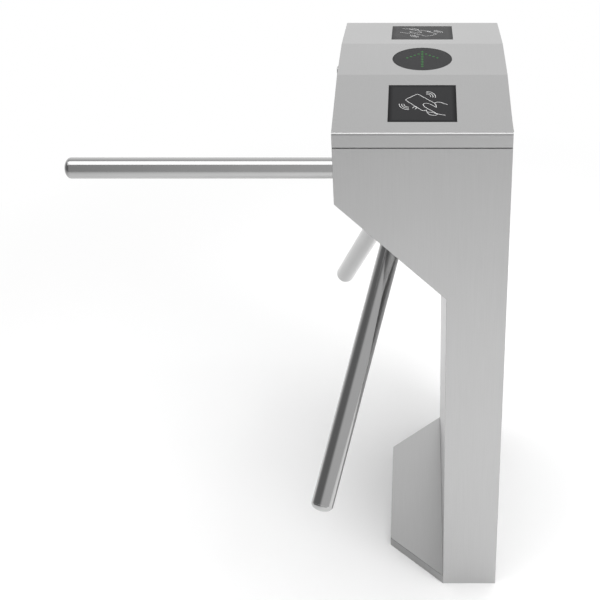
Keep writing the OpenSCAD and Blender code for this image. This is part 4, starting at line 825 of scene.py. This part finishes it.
fitted = node(tree, "Mix", {0: is_strip, 6: fitted, 7: srgb(STRIP_GREEN)}, data_type="RGBA").outputs[2]
off_board = node(
    tree, "MapRange",
    {"Value": into_x, "From Min": BOARD_FRONT - FITTED_STEP[0], "From Max": BOARD_FRONT - FITTED_STEP[1]},
).outputs[0]
in_column = node(tree, "Math", {0: into_x, 1: BOARD_FRONT / 2}, operation="GREATER_THAN").outputs[0]
is_fitted = node(tree, "Math", {0: off_board, 1: in_column}, operation="MULTIPLY").outputs[0]
tone = node(tree, "Mix", {0: is_fitted, 6: board, 7: fitted}, data_type="RGBA").outputs[2]
is_lamp = node(tree, "Math", {0: up_z, 1: LAMP_FOOT}, operation="GREATER_THAN").outputs[0]
tone = node(tree, "Mix", {0: is_lamp, 6: tone, 7: srgb(LAMP_GREEN)}, data_type="RGBA").outputs[2]
sheen = node(tree, "MapRange", {"Value": is_fitted, "To Min": 0.25, "To Max": 0.5}).outputs[0]
raised = node(tree, "Bump", {"Strength": 0.15, "Distance": GRAIN_DEEP, "Height": is_track}).outputs[0]
shader = node(tree, "BsdfPrincipled", {"Base Color": tone, "Roughness": sheen, "Normal": raised})
node(tree, "OutputMaterial", {"Surface": shader.outputs[0]})
give(solder_mask, "control_board", "indicator_leds")

# Lid. Folded and ground like the housing, but belted along the passage, so that its
# faint lines run from end to end over the slopes.

# Its edges and folds take the same painted shade as the housing's
give(linished("stainless_linished_lengthwise", 1, edge_mm=0.5), "lid_shell")

# Reader windows and indicator lens. Smoked cast acrylic, 3 to 4 mm thick, flush with the lid: painted near
# black at the rim, a painted shade where the module's black wall stands behind it, and grey further in, with
# a satin anti-glare face that mirrors little, and faint wiping marks.

# The rim's tone is painted shade, darker towards the window's and the lens's edge
SMOKED_RIM_SHADE, SMOKED_MIDDLE = "#141415", "#272728"
SMOKED_ROUGH, SMOKED_SPREAD, ANTI_GLARE_IOR = 0.38, 0.05, 1.16
RIM_MM, WIPE_MM = 9, 35
WINDOW_HALF, GLASS_THICK = 54 * MM, 4 * MM
LENS_APART = 20 * MM
LID_RISE, LID_SLOPE_RUN = 24.9 * MM, 170.9 * MM

smoked_acrylic, tree = new_material("smoked_cast_acrylic")
place = node(tree, "TexCoord").outputs["Object"]
glass_low, glass_high = (np.array(corner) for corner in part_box("front_window"))
lens_low, lens_high = (np.array(corner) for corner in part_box("indicator_lens"))
window_y = -(glass_low + glass_high)[1] / 2
middle_x = (glass_low + glass_high)[0] / 2
from_middle = node(tree, "Mapping", {"Vector": place, "Location": (-middle_x, 0, 0)}).outputs[0]
x, y, _ = node(tree, "SeparateXYZ", {"Vector": from_middle}).outputs
both_ends = node(tree, "Math", {0: y}, operation="ABSOLUTE").outputs[0]
off_side = node(tree, "Math", {0: x}, operation="ABSOLUTE").outputs[0]
off_end = node(tree, "Math", {0: both_ends, 1: window_y}, operation="SUBTRACT").outputs[0]
off_end = node(tree, "Math", {0: off_end}, operation="ABSOLUTE").outputs[0]
furthest = node(tree, "Math", {0: off_side, 1: off_end}, operation="MAXIMUM").outputs[0]
round_lens = node(tree, "VectorMath", {0: from_middle, 1: (1, 1, 0)}, operation="MULTIPLY").outputs[0]
round_lens = node(tree, "VectorMath", {0: round_lens}, operation="LENGTH").outputs["Value"]
lens_ends = window_y - WINDOW_HALF - LENS_APART
is_lens = node(tree, "Math", {0: both_ends, 1: lens_ends}, operation="LESS_THAN").outputs[0]
furthest = node(tree, "Mix", {0: is_lens, 2: furthest, 3: round_lens}, data_type="FLOAT").outputs[0]
# Painted shade: the tone darkens from the middle to the rim over RIM_MM
inwards = node(
    tree, "MapRange",
    {"Value": furthest, "From Min": WINDOW_HALF, "From Max": WINDOW_HALF - RIM_MM * MM},
    interpolation_type="SMOOTHSTEP",
).outputs[0]
tone = node(
    tree, "Mix", {0: inwards, 6: srgb(SMOKED_RIM_SHADE), 7: srgb(SMOKED_MIDDLE)}, data_type="RGBA"
).outputs[2]
wiped = node(tree, "TexNoise", {"Vector": place, "Scale": 1 / (WIPE_MM * MM), "Detail": 4.0}).outputs[0]
sheen = node(
    tree, "MapRange",
    {"Value": wiped, "To Min": SMOKED_ROUGH - SMOKED_SPREAD, "To Max": SMOKED_ROUGH + SMOKED_SPREAD},
).outputs[0]
shader = node(
    tree, "BsdfPrincipled", {"Base Color": tone, "Roughness": sheen, "IOR": ANTI_GLARE_IOR}
)
node(tree, "OutputMaterial", {"Surface": shader.outputs[0]})
give(smoked_acrylic, "front_window", "rear_window", "indicator_lens")

# Card symbols. Screen-printed in pale grey ink on each window, 0.1 mm proud: a hand
# that holds a plain card, with three arcs at two of its corners. The rear one is
# turned half round, for those who come the other way.

INK, INK_THIN = "#c4c4c4", "#b0b0b0"
INK_WIDE, INK_THICK = 1.0 * MM, 0.1 * MM
INK_TOP = 0.42

# The screen's real mesh, 0.1 mm, is too fine to show in the ink, so it is drawn 0.8 mm
MESH_MM = 0.8
STROKE_STEPS = 48
CARD_HALF, CARD_CORNER, CARD_TURN, CARD_AT = (22.2, 13.5), 3.4, 131, (-3.0, 2.5)
CARD_FROM, CARD_TO = (18.3, 1.2), (6.9, -19.7)
ARC_RADII = (7.5, 11.2, 15)
ARCS_UPPER, ARCS_LOWER = ((6, 20), -14, 88), ((-21.5, -3.5), 172, 272)
HAND = (
    [(40, -4), (35, -1.5), (29.5, 2.7), (24, 3.6), (18.3, 1.2), (21.5, -3.5), (22.3, -12)],
    [
        (22.3, -12), (16, -6), (10, -0.6), (4.5, 0.6), (0.8, -3), (2, -8), (7, -14.5), (15, -22),
        (24, -31.5), (31, -33), (36.5, -35),
    ],
    [(6.5, -20.5), (6.5, -24.5), (10, -26), (16.5, -26.5), (23, -30.8)],
    [(7.5, -26.5), (10.5, -32.3), (15.7, -35), (21, -35), (24, -31.5)],
    [(-15.8, -14.5), (-13.8, -10.6), (-10.8, -9.6), (-8.6, -13.5), (-11.5, -17)],
)


def sampled(points):
    """Line through its points at STROKE_STEPS places, evenly spaced by length."""
    length = np.append(0, np.cumsum(np.hypot(*np.diff(points, axis=0).T)))
    even = np.linspace(0, length[-1], STROKE_STEPS)
    return np.column_stack([np.interp(even, length, column) for column in np.transpose(points)])


def eased(points):
    """Line through given points, with its corners cut three times: each cut puts a point at a quarter and at
    three quarters of every stretch, which tends to a smooth curve."""
    line = np.array(points, float)
    for _ in range(3):
        cut = np.stack([0.75 * line[:-1] + 0.25 * line[1:], 0.25 * line[:-1] + 0.75 * line[1:]], 1)
        line = np.vstack([line[:1], cut.reshape(-1, 2), line[-1:]])
    return sampled(line)


def arc(centre, radius, start, end):
    """Arc about a centre, from one angle to another in degrees."""
    turned = np.radians(np.linspace(start, end, STROKE_STEPS))
    return np.array(centre) + radius * np.column_stack([np.cos(turned), np.sin(turned)])


# The card's outline is turned onto the window and opened where the hand covers it
card, _ = rounded_rectangle(CARD_HALF, CARD_CORNER)
turn = np.radians(CARD_TURN)
card = card @ [[np.cos(turn), np.sin(turn)], [-np.sin(turn), np.cos(turn)]] + CARD_AT
start = np.argmin(np.hypot(*(card - CARD_FROM).T))
card = np.roll(card, -start, axis=0)
end = np.argmin(np.hypot(*(card - CARD_TO).T))
card = np.vstack([[CARD_FROM], card[1:end], [CARD_TO]])

strokes = [sampled(card)] + [eased(points) for points in HAND]
for centre, start, end in (ARCS_UPPER, ARCS_LOWER):
    strokes += [arc(centre, radius, start, end) for radius in ARC_RADII]
strokes = np.array(strokes) * MM
stroke_along = np.gradient(strokes, axis=1)
stroke_along /= np.linalg.norm(stroke_along, axis=2, keepdims=True)
stroke_right = np.stack([stroke_along[..., 1], -stroke_along[..., 0]], -1)
ink_profile = [(-0.5, 0), (0.5, 0), (INK_TOP, 1), (-INK_TOP, 1)] * np.array([INK_WIDE, INK_THICK])

ink, tree = new_material("screen_printed_ink")
place = node(tree, "TexCoord").outputs["Object"]
mesh_print = node(
    tree, "TexNoise", {"Vector": place, "Scale": 1 / (MESH_MM * MM), "Detail": 2.0}
).outputs[0]
tone = node(tree, "Mix", {0: mesh_print, 6: srgb(INK_THIN), 7: srgb(INK)}, data_type="RGBA").outputs[2]
sheen = node(tree, "MapRange", {"Value": mesh_print, "To Min": 0.5, "To Max": 0.7}).outputs[0]
shader = node(tree, "BsdfPrincipled", {"Base Color": tone, "Roughness": sheen})
node(tree, "OutputMaterial", {"Surface": shader.outputs[0]})

slope = math.atan2(LID_RISE, LID_SLOPE_RUN)
for name, facing in (("front_card_symbol", 1), ("rear_card_symbol", -1)):
    rightwards = np.array([facing, 0, 0])
    up_slope = facing * np.array([0, math.cos(slope), 0]) + [0, 0, math.sin(slope)]
    off_glass = np.cross(rightwards, up_slope)
    glass_middle = np.array([middle_x, -facing * window_y, (glass_low + glass_high)[2] / 2])
    printed_at = glass_middle + off_glass * GLASS_THICK / 2
    on_glass = np.array([rightwards, up_slope])
    symbol = new_object(
        name,
        *carried(
            printed_at + strokes @ on_glass, stroke_right @ on_glass,
            np.broadcast_to(off_glass, strokes.shape[:2] + (3,)), ink_profile,
        ),
        smooth=False,
    )
    symbol.data.materials.append(ink)
    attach(symbol, "lid")

# Arrow lights. Green lamps under the lens, lit, seen as small soft discs in its
# face: ten in the shaft and four on each side of the head. They are drawn as low
# domes on the lens, brighter in the middle.

LIGHT_RADIUS, LIGHT_RISE = 2.3 * MM, 0.12 * MM
DOME_TOP, DOME_STEPS, DOME_SIDES = 84, 6, 16
SHAFT_LIGHTS, HEAD_LIGHTS = 10, 4
SHAFT_HALF, HEAD_REACH = 33 * MM, 25.5 * MM
HEAD_FOOT, HEAD_TIP = 4.5 * MM, 27.5 * MM
LIGHT_GREEN, LIGHT_RING, LIGHT_OFF = "#35753a", "#2b6030", "#101410"

shaft_y = np.linspace(-SHAFT_HALF, SHAFT_HALF, SHAFT_LIGHTS)
shaft = np.column_stack([np.zeros(SHAFT_LIGHTS), shaft_y])
share = np.arange(HEAD_LIGHTS)[:, None] / HEAD_LIGHTS
head = (1 - share) * [HEAD_REACH, HEAD_FOOT] + share * [0, HEAD_TIP]
lights = np.vstack([shaft, head, head * [-1, 1]])
lights = lights + (lens_low + lens_high)[:2] / 2
lights_at = np.column_stack([lights, np.full(len(lights), lens_high[2])])

# Each dome's radius falls as a cosine while its height grows as a sine
rising = np.linspace(0, np.radians(DOME_TOP), DOME_STEPS)
dome_axis = lights_at[:, None] + LIGHT_RISE * np.sin(rising)[:, None] * [0, 0, 1]
narrowing = (LIGHT_RADIUS * np.cos(rising))[:, None]
narrowing = np.broadcast_to(narrowing, (len(lights), len(rising), 1))
rim_turn = np.linspace(0, 2 * np.pi, DOME_SIDES, endpoint=False)
rim = np.column_stack([np.cos(rim_turn), np.sin(rim_turn)])
arrow_lights = new_object(
    "arrow_lights", *carried(dome_axis, narrowing * [1, 0, 0], narrowing * [0, 1, 0], rim)
)

lit_green, tree = new_material("moulded_green_lamp_lit")
height = node(tree, "SeparateXYZ", {"Vector": node(tree, "TexCoord").outputs["Object"]}).outputs["Z"]
centre = node(
    tree, "MapRange", {"Value": height, "From Min": lens_high[2], "From Max": lens_high[2] + LIGHT_RISE}
).outputs[0]
glow = node(
    tree, "Mix", {0: centre, 6: srgb(LIGHT_RING), 7: srgb(LIGHT_GREEN)}, data_type="RGBA"
).outputs[2]
shader = node(
    tree, "BsdfPrincipled",
    {
        "Base Color": srgb(LIGHT_OFF), "Roughness": 0.4, "IOR": ANTI_GLARE_IOR,
        "Emission Color": glow, "Emission Strength": 1.0,
    },
)
node(tree, "OutputMaterial", {"Surface": shader.outputs[0]})
arrow_lights.data.materials.append(lit_green)
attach(arrow_lights, "lid")

# Lock. A cam lock with a die-cast, chrome-plated barrel and plug: bright and
# mirror-like, under a faint haze left by keys and fingers.

CHROME = ("#c9c9c8", "#c3c4c6", "#cdccc9")
CHROME_PATCH_MM = 4

give(
    metal("polished_chrome_plated_zinc", CHROME, roughness=0.14, patch_mm=CHROME_PATCH_MM),
    "lock_barrel", "lock_cam",
)
